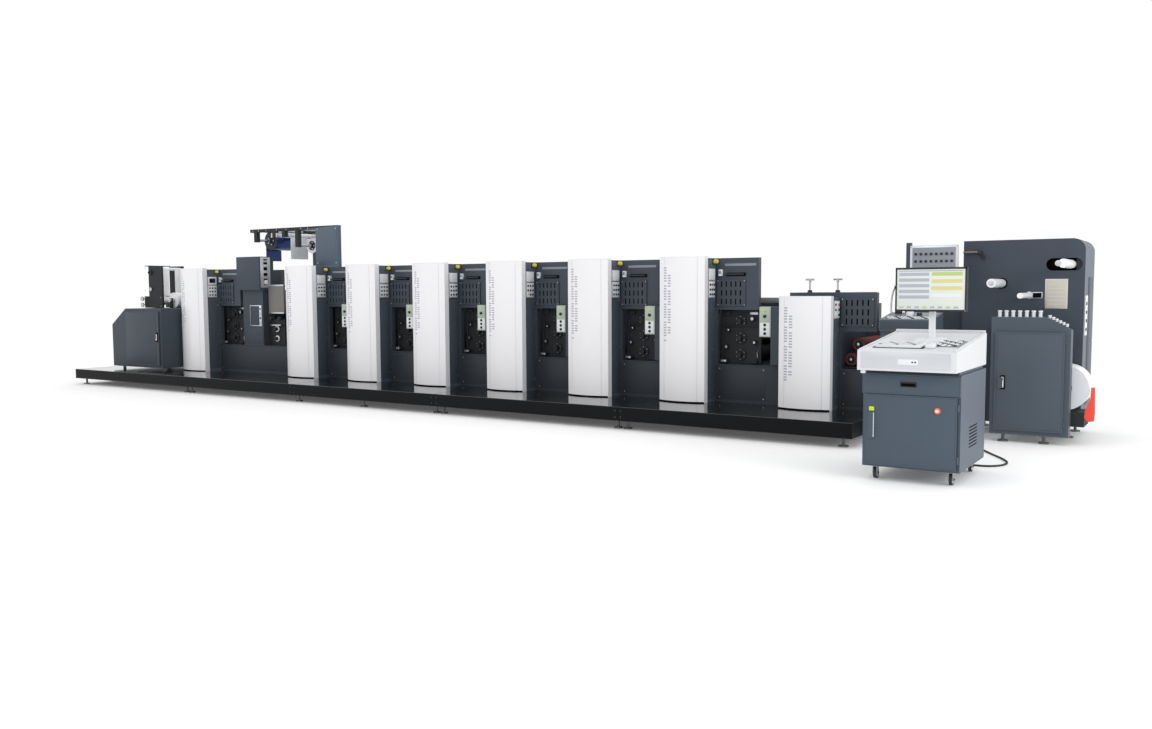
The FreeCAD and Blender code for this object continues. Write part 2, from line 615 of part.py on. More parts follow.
def tower():
    """Two sides, the front one on the first unit and the rear one on the bed, and two reels."""
    front = tower_side("tower_front", "frame_front",
                       ("tower_post", "tower_post_width", "unit_top"), "tower_post")
    back = tower_side("tower_rear", "tower_back",
                      ("back_tower_post", "back_tower_width", "bed_top"),
                      "takeup_at + hanger_width / 2")
    node("foil_tower", [front, back])
    node("foil_supply_reel", reel("supply", "supply_at", "supply_height", "supply_radius"))
    node("foil_takeup_reel", reel("takeup", "takeup_at", "takeup_height", "takeup_radius"))


def tower_rollers():
    """Two turning rollers between the tower's sides."""
    return [rod(f"turn_roller_{index}", "turn_radius", "tower_back - frame_front - frame_wall",
                (x, "frame_front + frame_wall", "turn_height"))
            for index, x in enumerate(("turn_one", "turn_two"))]


# ---------------------------------------------------------------- doors

def door(name, hinge_x, toward, front, bottom, width, height, pull, pull_bottom, pull_height):
    """A door leaf beside its hinge line; toward is 1 where it runs to +X, else -1.

    The hinge line lies in the middle of the leaf's thickness. The leaf starts
    one pin gap from the pins, so that it swings around them.
    """
    edge = "(pin_radius + pin_gap)"
    left = f"{hinge_x} + {edge}" if toward > 0 else f"{hinge_x} - ({width})"
    leaf = box(name + "_leaf", (f"({width}) - {edge}", "door_thick", height),
               (left, f"{front} - door_gap - door_thick", bottom))
    grip = box(name + "_pull", ("pull_width", "pull_reach + door_thick / 2", pull_height),
               (pull, f"{front} - door_gap - door_thick - pull_reach", pull_bottom))
    return fuse(name, [leaf, grip])


def hinge_pins(name, hinge_x, toward, front, bottom, height):
    """Two pins on blocks that stand out from the cabinet's face."""
    row = f"{front} - door_gap - door_thick / 2"
    block_x = f"{hinge_x} - pin_radius" if toward > 0 else hinge_x
    pieces = []
    for level, z in enumerate((f"{bottom} + pin_length", f"{bottom} + {height} - 2 * pin_length")):
        pieces.append(rod(f"{name}_pin_{level}", "pin_radius", "pin_length", (hinge_x, row, z), "z"))
        pieces.append(box(f"{name}_block_{level}", ("pin_radius", "door_gap + door_thick / 2 + 2",
                                                    "pin_length"), (block_x, row, z)))
    return pieces


# ---------------------------------------------------------------- rewinder

LEFT_HINGE = "rewinder_start + rewinder_length - recess_margin - left_door_width"
LEFT_SILL = "rewinder_bottom + recess_margin"


def rewinder():
    """The low rewinder cabinet with its sloping end, and its door."""
    corners = [("0", "0"), ("rewinder_length", "0"),
               ("rewinder_length", "rewinder_top - rewinder_bottom"),
               ("rewinder_slope_length", "rewinder_top - rewinder_bottom"),
               ("0", "rewinder_top - rewinder_bottom - rewinder_slope_drop")]
    shell = outline("rewinder_shell", "XZ", corners, "rewinder_depth",
                    ("rewinder_start", "rewinder_front", "rewinder_bottom"))
    recess = box("rewinder_recess", ("left_door_width - 2 * recess_margin",
                                     "cabinet_recess + 10", "left_door_height - 2 * recess_margin"),
                 (LEFT_HINGE + " + recess_margin", "rewinder_front - 10",
                  LEFT_SILL + " + recess_margin"))
    pins = hinge_pins("rewinder_hinge", LEFT_HINGE, 1, "rewinder_front", LEFT_SILL,
                      "left_door_height")
    node("rewinder_cabinet", fuse("rewinder_all", [cut("rewinder_open", shell, recess)] + pins))
    node("rewinder_door", door("rewinder_leaf", LEFT_HINGE, 1, "rewinder_front", LEFT_SILL,
                               "left_door_width", "left_door_height",
                               LEFT_HINGE + " + left_door_width - 2 * pull_width",
                               LEFT_SILL + " + left_door_height / 2", "pull_height / 2"))


def rewinder_tower():
    """Two stepped plates on the rewinder and two handwheels."""
    width = "rewinder_plate_end - rewinder_plate_start"
    neck = "rewinder_plate_neck - rewinder_plate_start"
    step = "rewinder_plate_step - rewinder_top"
    top = "rewinder_plate_top - rewinder_top"
    corners = [("0", "0"), (width, "0"), (width, top), (neck, top), (neck, step), ("0", step)]
    plates = [outline(f"tower_plate_{index}", "XZ", corners, "rewinder_plate_wall",
                      ("rewinder_plate_start", row, "rewinder_top"))
              for index, row in enumerate(("rewinder_plate_front",
                                           "rewinder_plate_front + rewinder_plate_wall"
                                           " + rewinder_span"))]
    node("rewinder_frame", plates)
    wheels = []
    for index, z in enumerate(("rewinder_top + 1.2 * handwheel_radius",
                               "rewinder_top + 3.7 * handwheel_radius")):
        x = "rewinder_plate_start + 1.3 * handwheel_radius"
        rim = rod(f"handwheel_rim_{index}", "handwheel_radius", "handwheel_thick",
                  (x, "rewinder_plate_front - handwheel_reach", z))
        shaft = rod(f"handwheel_shaft_{index}", "handwheel_thick / 2", "handwheel_reach",
                    (x, "rewinder_plate_front - handwheel_reach", z))
        wheels.append(fuse(f"handwheel_{index}", [rim, shaft]))
    node("rewinder_handwheels", wheels)


def rewinder_rolls():
    """Three rolls at the right edge of the rewinder's two plates."""
    inner = "rewinder_plate_front + rewinder_plate_wall"
    line = "rewinder_plate_end - rewinder_roll"
    return [rod("delivery_roll", "rewinder_roll", "rewinder_span",
                (line, inner, "rewinder_top + 2.4 * rewinder_roll")),
            rod("draw_roll", "rewinder_roll / 2", "rewinder_span",
                (line, inner, "rewinder_plate_step + 20")),
            rod("lift_roll", "rewinder_roll / 2", "rewinder_span",
                (line, inner, "rewinder_plate_top - rewinder_roll"))]


# Start and width of each lane of web between the rewinder's plates.
LANES = ((15, 100), (220, 105))


def webs():
    """The label web where it shows: two lanes at the rewinder, one in the tower."""
    lanes = []
    for index, (offset, width) in enumerate(LANES):
        lanes.append(box(f"lane_{index}", ("web_thick", width,
                                           "rewinder_plate_top - rewinder_roll"
                                           " - rewinder_plate_step - 20"),
                         ("rewinder_plate_end - rewinder_roll / 2",
                          f"rewinder_plate_front + rewinder_plate_wall + {offset}",
                          "rewinder_plate_step + 20")))
    lanes.append(box("tower_lane", ("web_thick", "web_width", "tower_web"),
                     ("turn_one + turn_radius", "web_row", "turn_height - tower_web")))
    node("label_web", lanes)
    node("foil_web", box("foil_lane", ("web_thick", "web_width - 2 * foil_margin", "foil_drop"),
                         ("supply_at - supply_radius - web_thick", "web_row + foil_margin",
                          "supply_height - foil_drop")))


# ---------------------------------------------------------------- unwinder

RIGHT_HINGE = "cabinet_start + cabinet_length - recess_margin"
RIGHT_SILL = "cabinet_bottom + recess_margin"


def unwinder_housing():
    """The tall housing with one rounded shoulder and the slot of the dancer roller."""
    corners = [("0", "0"), ("unwinder_length", "0"),
               ("unwinder_length", "unwinder_top - unwinder_bottom"),
               ("0", "unwinder_top - unwinder_bottom")]
    body = outline("unwinder_body", "XZ", corners, "back_reach - unwinder_front",
                   ("unwinder_start", "unwinder_front", "unwinder_bottom"))
    doc.recompute()
    pad = body.Tip
    right = pad.Shape.BoundBox.XMax
    upper = pad.Shape.BoundBox.ZMax
    corner = [f"Edge{i}" for i, edge in enumerate(pad.Shape.Edges, 1)
              if min(v.X for v in edge.Vertexes) > right - 1
              and min(v.Z for v in edge.Vertexes) > upper - 1]
    bend = body.newObject("PartDesign::Fillet", "unwinder_bend")
    bend.Base = (pad, corner)
    bend.setExpression("Radius", bound("unwinder_corner"))
    slot = fuse("dancer_slot", [
        box("dancer_slot_middle", ("slot_length", "slot_depth + 10", "2 * slot_half"),
            ("slot_start", "unwinder_front - 10", "slot_row - slot_half")),
        rod("dancer_slot_left", "slot_half", "slot_depth + 10",
            ("slot_start", "unwinder_front - 10", "slot_row")),
        rod("dancer_slot_right", "slot_half", "slot_depth + 10",
            ("slot_start + slot_length", "unwinder_front - 10", "slot_row"))])
    node("unwinder_housing", cut("unwinder_slotted", body, slot))


def unwinder_rollers():
    """Rollers that stand out of the unwinder housing toward the operator."""
    row = "unwinder_front - unwinder_reach"
    return [rod("web_roller", "unwinder_roller", "unwinder_reach",
                ("cabinet_start - entry_inset", row, "entry_height")),
            rod("dancer_roller", "unwinder_roller", "unwinder_reach + slot_depth",
                ("slot_start + slot_length - unwinder_roller", row, "slot_row")),
            rod("guide_roller", "unwinder_roller / 1.6", "unwinder_reach",
                ("cabinet_start + guide_offset", row, "guide_height"))]


def unwinder_cabinet():
    """The low cabinet before the housing, its door and the row of knobs on top."""
    corners = [("0", "0"), ("cabinet_length", "0"),
               ("cabinet_length", "cabinet_top - cabinet_bottom - cabinet_slope_drop"),
               ("cabinet_length - cabinet_slope_length", "cabinet_top - cabinet_bottom"),
               ("0", "cabinet_top - cabinet_bottom")]
    shell = outline("cabinet_shell", "XZ", corners, "cabinet_depth",
                    ("cabinet_start", "cabinet_front", "cabinet_bottom"))
    recess = box("cabinet_hollow", ("right_door_width - 2 * recess_margin", "recess_depth + 10",
                                    "right_door_height - 2 * recess_margin"),
                 (RIGHT_HINGE + " - right_door_width + recess_margin", "cabinet_front - 10",
                  RIGHT_SILL + " + recess_margin"))
    bridge = box("cabinet_bridge", ("bridge_width", "unwinder_front - cabinet_front - 20",
                                    "cabinet_top - cabinet_bottom - 3 * bridge_width"),
                 ("cabinet_start", "cabinet_front + 20", "cabinet_bottom + 2 * bridge_width"))
    pins = hinge_pins("cabinet_hinge", RIGHT_HINGE, -1, "cabinet_front", RIGHT_SILL,
                      "right_door_height")
    node("unwinder_cabinet", fuse("cabinet_all", [cut("cabinet_open", shell, recess), bridge] + pins))
    node("unwinder_door", door("cabinet_leaf", RIGHT_HINGE, -1, "cabinet_front", RIGHT_SILL,
                               "right_door_width", "right_door_height",
                               RIGHT_HINGE + " - right_door_width + pull_width",
                               RIGHT_SILL + " + right_door_height * 0.43", "pull_height / 2"))
    knobs = []
    for index in range(7):
        knobs.append(rod(f"knob_{index}", "knob_radius", "knob_height",
                         (f"cabinet_start + {index + 1} * (cabinet_length - cabinet_slope_length) / 8",
                          "cabinet_front + cabinet_depth / 2", "cabinet_top"), "z"))
    node("unwinder_knobs", knobs)


def paper_reel():
    """The paper reel on its core, and the bracket and lever that lift it."""
    roll = rod("paper_roll", "reel_radius", "web_width - 5", ("reel_at", "reel_front", "reel_height"))
    core = rod("paper_core", "core_radius", "unwinder_front - reel_front + 10 - shaft_gap",
               ("reel_at", "reel_front - 10", "reel_height"))
    node("paper_reel", fuse("paper_all", [roll, core]))
    node("reel_bracket", box("bracket_arm",
                             ("line_length - lever_width - reel_at - bracket_start",
                              "unwinder_front - reel_front - lever_setback", "bracket_height"),
                             ("reel_at + bracket_start", "reel_front + lever_setback",
                              "lever_bottom - bracket_drop")))
    corners = [("0", "40"), ("30", "0"), ("80", "10"), ("lever_width", "90"), ("80", "310"),
               ("50", "310"), ("45", "210"), ("7", "100")]
    node("reel_lever", outline("lever_blade", "XZ", corners, "lever_thick",
                               ("line_length - lever_width", "reel_front + lever_setback",
                                "lever_bottom")))


# ---------------------------------------------------------------- console

CONSOLE_FRONT = "(0 - console_front)"
CONSOLE_HINGE = "console_start + console_width - leaf_margin"
DRAWER_FLOOR = "console_top - console_wall - drawer_height"
GLAND_X, GLAND_Z = "300", "160"


def console_body():
    """The console's box, open at the drawer and the cupboard."""
    block = box("console_block", ("console_width", "console_depth", "console_top - console_bottom"),
                ("console_start", CONSOLE_FRONT, "console_bottom"))
    inside = ("console_width - 2 * console_wall", "console_depth - console_wall + 10")
    drawer_bay = box("drawer_bay", inside + ("drawer_height",),
                     ("console_start + console_wall", CONSOLE_FRONT + " - 10", DRAWER_FLOOR))
    cupboard = box("cupboard", inside + (f"{DRAWER_FLOOR} - console_bottom - 2 * console_wall",),
                   ("console_start + console_wall", CONSOLE_FRONT + " - 10",
                    "console_bottom + console_wall"))
    opened = cut("console_open", cut("console_drawered", block, drawer_bay), cupboard)
    plinth = box("console_plinth", ("console_width - 2 * console_wall",
                                    "console_depth - 2 * console_wall", "worktop_lift + 1"),
                 ("console_start + console_wall", CONSOLE_FRONT + " + console_wall",
                  "console_top - 1"))
    runners = [box(f"runner_{index}", ("console_wall", "drawer_depth", "drawer_clear - pin_gap + 1"),
                   (x, CONSOLE_FRONT + " + 5", DRAWER_FLOOR + " - 1"))
               for index, x in enumerate(("console_start + 2 * console_wall",
                                          "console_start + console_width - 3 * console_wall"))]
    pins = hinge_pins("console_hinge", CONSOLE_HINGE, -1, CONSOLE_FRONT,
                      "console_bottom + leaf_margin", f"({DRAWER_FLOOR} - console_bottom - 20)")
    gland = rod("console_gland", "gland_radius", "gland_length + 1",
                (f"console_start + {GLAND_X}", CONSOLE_FRONT + " + console_depth - 1", GLAND_Z))
    node("console_body", fuse("console_all", [opened, plinth, gland] + runners + pins))


def console_moving():
    """The cupboard door and the drawer."""
    leaf_height = f"{DRAWER_FLOOR} - console_bottom - leaf_margin - 5"
    node("console_door", door("console_leaf", CONSOLE_HINGE, -1, CONSOLE_FRONT,
                              "console_bottom + leaf_margin", "console_width - 2 * leaf_margin",
                              leaf_height, "console_start + leaf_margin + pull_width",
                              "console_bottom + 215", "pull_height"))
    tray_width = "console_width - 2 * console_wall - 2 * drawer_clear"
    tray_height = "drawer_height - 2 * drawer_clear - 10"
    start = "console_start + console_wall + drawer_clear"
    tray = box("tray_block", (tray_width, "drawer_depth + door_gap", tray_height),
               (start, CONSOLE_FRONT + " - door_gap", DRAWER_FLOOR + " + drawer_clear"))
    hollow = box("tray_hollow", (f"{tray_width} - 2 * drawer_wall",
                                 "drawer_depth - 2 * drawer_wall", tray_height),
                 (f"{start} + drawer_wall", CONSOLE_FRONT + " + drawer_wall",
                  DRAWER_FLOOR + " + drawer_clear + drawer_wall"))
    front = box("drawer_front", ("console_width", "door_thick", "drawer_height + 15"),
                ("console_start", CONSOLE_FRONT + " - door_gap - door_thick", DRAWER_FLOOR))
    grip = box("drawer_grip", ("grip_width", "door_thick * 0.6 + 10", "grip_height"),
               ("console_start + console_width * 0.4",
                CONSOLE_FRONT + " - door_gap - door_thick - 10", DRAWER_FLOOR + " + 85"))
    node("console_drawer", fuse("drawer_all", [cut("tray", tray, hollow),
                                               cut("drawer_panel", front, grip)]))


SLOPE = "((worktop_back_height - worktop_front_height) / worktop_depth)"
DESK = "console_top + worktop_lift"


def console_top():
    """The sloping worktop, the monitor's stand and the monitor."""
    corners = [("0", "0"), ("worktop_depth", "0"), ("worktop_depth", "worktop_back_height"),
               ("0", "worktop_front_height")]
    node("console_worktop", outline("worktop", "YZ", corners, "console_width",
                                    ("console_start - 8", "0 - front_reach", DESK)))
    reach = "front_reach - monitor_row - stand_depth / 2"
    rise = f"({SLOPE} * stand_depth)"
    corners = [("0", "0"), ("stand_depth", rise), ("stand_depth", f"{rise} + 22"), ("0", "22")]
    middle = "console_start + monitor_offset + monitor_width / 2"
    plate = outline("stand_plate", "YZ", corners, "stand_width",
                    (f"{middle} - stand_width / 2", "0 - monitor_row - stand_depth / 2",
                     f"{DESK} + worktop_front_height + {SLOPE} * ({reach})"))
    behind = "0 - monitor_row + monitor_thick / 2"
    root = (f"{DESK} + worktop_front_height + 12 + {SLOPE} * (front_reach - monitor_row"
            " + monitor_thick / 2 + tilt_setback + stand_post / 2)")
    post = box("stand_post_block", ("stand_post", "stand_post", f"tilt_height + 10 - ({root})"),
               (f"{middle} - stand_post / 2", f"{behind} + tilt_setback - stand_post / 2", root))
    pin = rod("tilt_pin", "tilt_radius", "tilt_length",
              (f"{middle} - tilt_length / 2", f"{behind} + tilt_setback", "tilt_height"), "x")
    node("monitor_stand", fuse("stand_all", [plate, post, pin]))
    screen = box("screen_case", ("monitor_width", "monitor_thick", "monitor_height"),
                 ("console_start + monitor_offset", "0 - monitor_row - monitor_thick / 2",
                  "monitor_bottom"))
    lugs = [box(f"tilt_lug_{index}", ("lug_thick", "tilt_setback + lug_thick + 1", "4 * lug_thick"),
                (x, f"{behind} - 1", "tilt_height - 2 * lug_thick"))
            for index, x in enumerate((f"{middle} + tilt_length / 2 + shaft_gap",
                                       f"{middle} - tilt_length / 2 - shaft_gap - lug_thick"))]
    node("monitor", fuse("monitor_all", [screen] + lugs))


def casters():
    """Four swivelling forks under the console and their wheels."""
    sides = ("console_start + caster_inset", "console_start + console_width - caster_inset")
    rows = (f"{CONSOLE_FRONT} + caster_inset", f"{CONSOLE_FRONT} + console_depth - caster_inset - 40")
    names = (("front_left", 0, 0), ("front_right", 1, 0), ("rear_left", 0, 1), ("rear_right", 1, 1))
    for name, side, row in names:
        x, y = sides[side], rows[row]
        crown = rod(f"crown_{name}", "3 * stem_radius", "6",
                    (x, y, "console_bottom - stem_clear - 6"), "z")
        cheeks = [box(f"cheek_{name}_{index}", ("fork_wall", "4 * stem_radius + 10",
                                                "console_bottom - stem_clear - wheel_size + 6"),
                      (cheek_x, f"{y} - stem_radius", "wheel_size - 8"))
                  for index, cheek_x in enumerate((f"{x} - fork_gap / 2 - fork_wall",
                                                   f"{x} + fork_gap / 2"))]
        axle = rod(f"axle_{name}", "axle_radius", "fork_gap + 2 * fork_wall",
                   (f"{x} - fork_gap / 2 - fork_wall", f"{y} + caster_trail", "wheel_size"), "x")
        node(f"caster_fork_{name}", fuse(f"fork_{name}", [crown, axle] + cheeks))
        tread = rod(f"tread_{name}", "wheel_size", "wheel_width",
                    (f"{x} - wheel_width / 2", f"{y} + caster_trail", "wheel_size"), "x")
        bore = rod(f"bore_{name}", "axle_radius + axle_clear", "wheel_width + 4",
                   (f"{x} - wheel_width / 2 - 2", f"{y} + caster_trail", "wheel_size"), "x")
        node(f"caster_wheel_{name}", cut(f"wheel_{name}", tread, bore))


# ---------------------------------------------------------------- ink desk

def ink_desk():
    """The desk at the base's right end, the key panel and the housing to the unwinder."""
    pedestal = box("desk_pedestal", ("desk_width", "desk_depth", "desk_top + 1"),
                   ("base_length", "desk_front", "0"))
    corners = [("0", "0"), ("desk_depth + desk_overhang", "0"),
               ("desk_depth + desk_overhang", "desk_head + desk_rise"), ("0", "desk_head")]
    head = outline("desk_lid", "YZ", corners, "desk_width + desk_overhang",
                   ("base_length", "desk_front - desk_overhang", "desk_top"))
    gland = rod("desk_gland", "gland_radius", "gland_length + 1",
                ("base_length + desk_width - 1", "desk_front + desk_depth / 2", "desk_gland"), "x")
    node("ink_desk", fuse("desk_all", [pedestal, head, gland]))
    back = "desk_front + desk_depth"
    post = box("key_upright", ("key_post", "key_post", "key_top - desk_top"),
               ("base_length + key_offset", back, "desk_top"))
    panel = box("key_plate", ("key_width", "key_thick", "key_height"),
                ("base_length + key_offset + key_post - 1", back, "key_bottom"))
    node("key_panel", fuse("key_all", [post, panel]))
    node("link_housing", box("link", ("unwinder_start - base_length", "link_depth", "link_height"),
                             ("base_length", "unwinder_front + link_setback", "link_bottom")))


# ---------------------------------------------------------------- console cable

# The cable's route from the ink desk, along the floor and round behind the
# console, in line coordinates; its two ends meet the faces of the glands.
CABLE = [(12480, 975, 60), (12610, 975, 60), (12745, 910, 12), (12870, 785, 8.2),
         (12960, 620, 8.2), (13052, 440, 8.2), (13150, 275, 8.2), (13250, 112, 8.2),
         (13318, -52, 8.2), (13300, -215, 8.2), (13195, -315, 8.2), (13052, -300, 8.2),
         (12932, -262, 13), (12845, -290, 92), (12820, -356, 160), (12820, -450, 160)]


def cable_path(points):
    """Straight runs joined by tangent arcs, with the radius of every arc."""
    edges, radii = [], []
    start = points[0]
    for before, here, after in zip(points, points[1:], points[2:]):
        back, ahead = (before - here), (after - here)
        reach = 0.45 * min(back.Length, ahead.Length)
        back.normalize()
        ahead.normalize()
        half_turn = (math.pi - back.getAngle(ahead)) / 2
        enter, leave = here + back * reach, here + ahead * reach
        middle_way = (back + ahead).normalize()
        radius = reach / math.tan(half_turn)
        centre = here + middle_way * ((reach ** 2 + radius ** 2) ** 0.5)
        middle = centre - middle_way * radius
        edges.append(Part.LineSegment(start, enter).toShape())
        edges.append(Part.Arc(enter, middle, leave).toShape())
        radii.append(radius)
        start = leave
    edges.append(Part.LineSegment(start, points[-1]).toShape())
    return Part.Wire(edges), radii


def cable():
    """The console's cable as one swept tube, moved into the row's frame."""
    shift = FreeCAD.Vector(-number("line_length") / 2,
                           -(VALUE["back_reach"] - VALUE["front_reach"]) / 2, 0)
    points = [FreeCAD.Vector(*point) for point in CABLE]
    path, radii = cable_path(points)
    ring = Part.Wire(Part.makeCircle(VALUE["cable_radius"], points[0], points[1] - points[0]))
    tube = path.makePipeShell([ring], True, False)
    ideal = math.pi * VALUE["cable_radius"] ** 2 * path.Length
    print("cable length", round(path.Length), "volume ratio", round(tube.Volume / ideal, 4))
    print("cable radii", [round(radius) for radius in radii])
    lead = doc.addObject("Part::Feature", "cable")
    lead.Shape = tube
    lead.Placement = FreeCAD.Placement(shift, FreeCAD.Rotation())
    node("console_cable", lead)


def build_all():
    base()
    feet()
    bed()
    columns_and_covers()
    frames()
    cylinders()
    ink_units()
    unit_fittings()
    infeed()
    station()
    tower()
    rewinder()
    rewinder_tower()
    webs()
    unwinder_housing()
    unwinder_cabinet()
    node("web_rollers", tower_rollers() + rewinder_rolls() + unwinder_rollers())
    paper_reel()
    console_body()
    console_moving()
    console_top()
    casters()
    ink_desk()
    cable()


def export():
    doc.recompute()
    for thing in doc.Objects:
        bad = [flag for flag in thing.State if flag in ("Invalid", "Error")]
        if bad:
            raise RuntimeError(f"{thing.Name} is {bad}")
    for piece in finished:
        if piece.Shape.isNull() or not piece.Shape.isValid():
            raise RuntimeError(f"{piece.Label} has no valid shape")
    os.makedirs("parts", exist_ok=True)
    for piece in finished:
        piece.Shape.exportStep(f"parts/{piece.Label}.step")
        size = piece.Shape.BoundBox
        print(piece.Label, len(piece.Shape.Solids), "solids",
              [round(v) for v in (size.XMin, size.XMax, size.YMin, size.YMax, size.ZMin, size.ZMax)])


build_all()
export()
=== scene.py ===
"""Looks for a six-unit offset label printing line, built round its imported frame."""

import logging
import math
from collections.abc import Callable, Iterable, Sequence
from dataclasses import dataclass, field
from enum import Enum

import bmesh
import bpy
from mathutils import Matrix, Vector


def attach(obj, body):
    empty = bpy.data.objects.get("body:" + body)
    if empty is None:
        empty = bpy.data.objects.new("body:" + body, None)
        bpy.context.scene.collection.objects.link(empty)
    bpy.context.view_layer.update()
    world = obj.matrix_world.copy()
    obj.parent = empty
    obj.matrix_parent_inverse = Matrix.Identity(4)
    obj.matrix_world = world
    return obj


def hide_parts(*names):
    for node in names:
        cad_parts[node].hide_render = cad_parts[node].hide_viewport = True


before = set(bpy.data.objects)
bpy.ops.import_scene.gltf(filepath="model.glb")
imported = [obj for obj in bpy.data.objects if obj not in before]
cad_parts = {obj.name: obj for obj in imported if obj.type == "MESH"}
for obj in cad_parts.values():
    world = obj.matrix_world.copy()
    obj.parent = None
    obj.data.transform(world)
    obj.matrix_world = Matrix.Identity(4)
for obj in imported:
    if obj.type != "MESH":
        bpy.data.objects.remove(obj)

LOG = logging.getLogger("label_press")
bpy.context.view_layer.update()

RGB = tuple[float, float, float]
Point = tuple[float, float, float]
Pair = tuple[float, float]

# Line coordinates run from the left front corner of the base platform, in
# millimetres; the frame runs from the middle of the whole line, in metres.
LINE_TO_ROW = Matrix.Scale(0.001, 4) @ Matrix.Translation((-6895.0, -455.0, 0.0))

EDGE_ROUNDS = 2
BLOCK_EDGE_SHARE = 0.45
SHEET_EDGE_SHARE = 0.4
TUBE_STEPS = 8
BOW_STEPS = 20
SMOOTH_ANGLE = math.radians(40)


def row(point: Point) -> Vector:
    """Place a point of the line in the frame.

    Args:
        point: Line coordinates in millimetres.

    Returns:
        The same point in the frame, in metres.
    """
    return LINE_TO_ROW @ Vector(point)


def paint_card(red: int, green: int, blue: int) -> RGB:
    """Read a paint card.

    Args:
        red: Level of red, 0 to 255.
        green: Level of green, 0 to 255.
        blue: Level of blue, 0 to 255.

    Returns:
        The colour as linear light.
    """
    shares = [level / 255 for level in (red, green, blue)]
    return tuple(s / 12.92 if s <= 0.04045 else ((s + 0.055) / 1.055) ** 2.4 for s in shares)


class Texture(Enum):
    """How the surface of a finish is broken up."""

    PEEL = "sprayed paint with a fine orange peel"
    BRUSHED = "metal drawn along X"
    TURNED = "metal turned on a lathe, with rings across Y"
    MOULDED = "moulded plastic or rubber with a fine grain"
    WOUND = "edges of a wound web, ring upon ring"
    RIBBED = "close pressed ribs that run upward"
    PAPER = "smooth coated paper with faint cockle"


class Axis(Enum):
    """A direction that a turned part or a cut sheet runs along."""

    X = 0
    Y = 1
    Z = 2


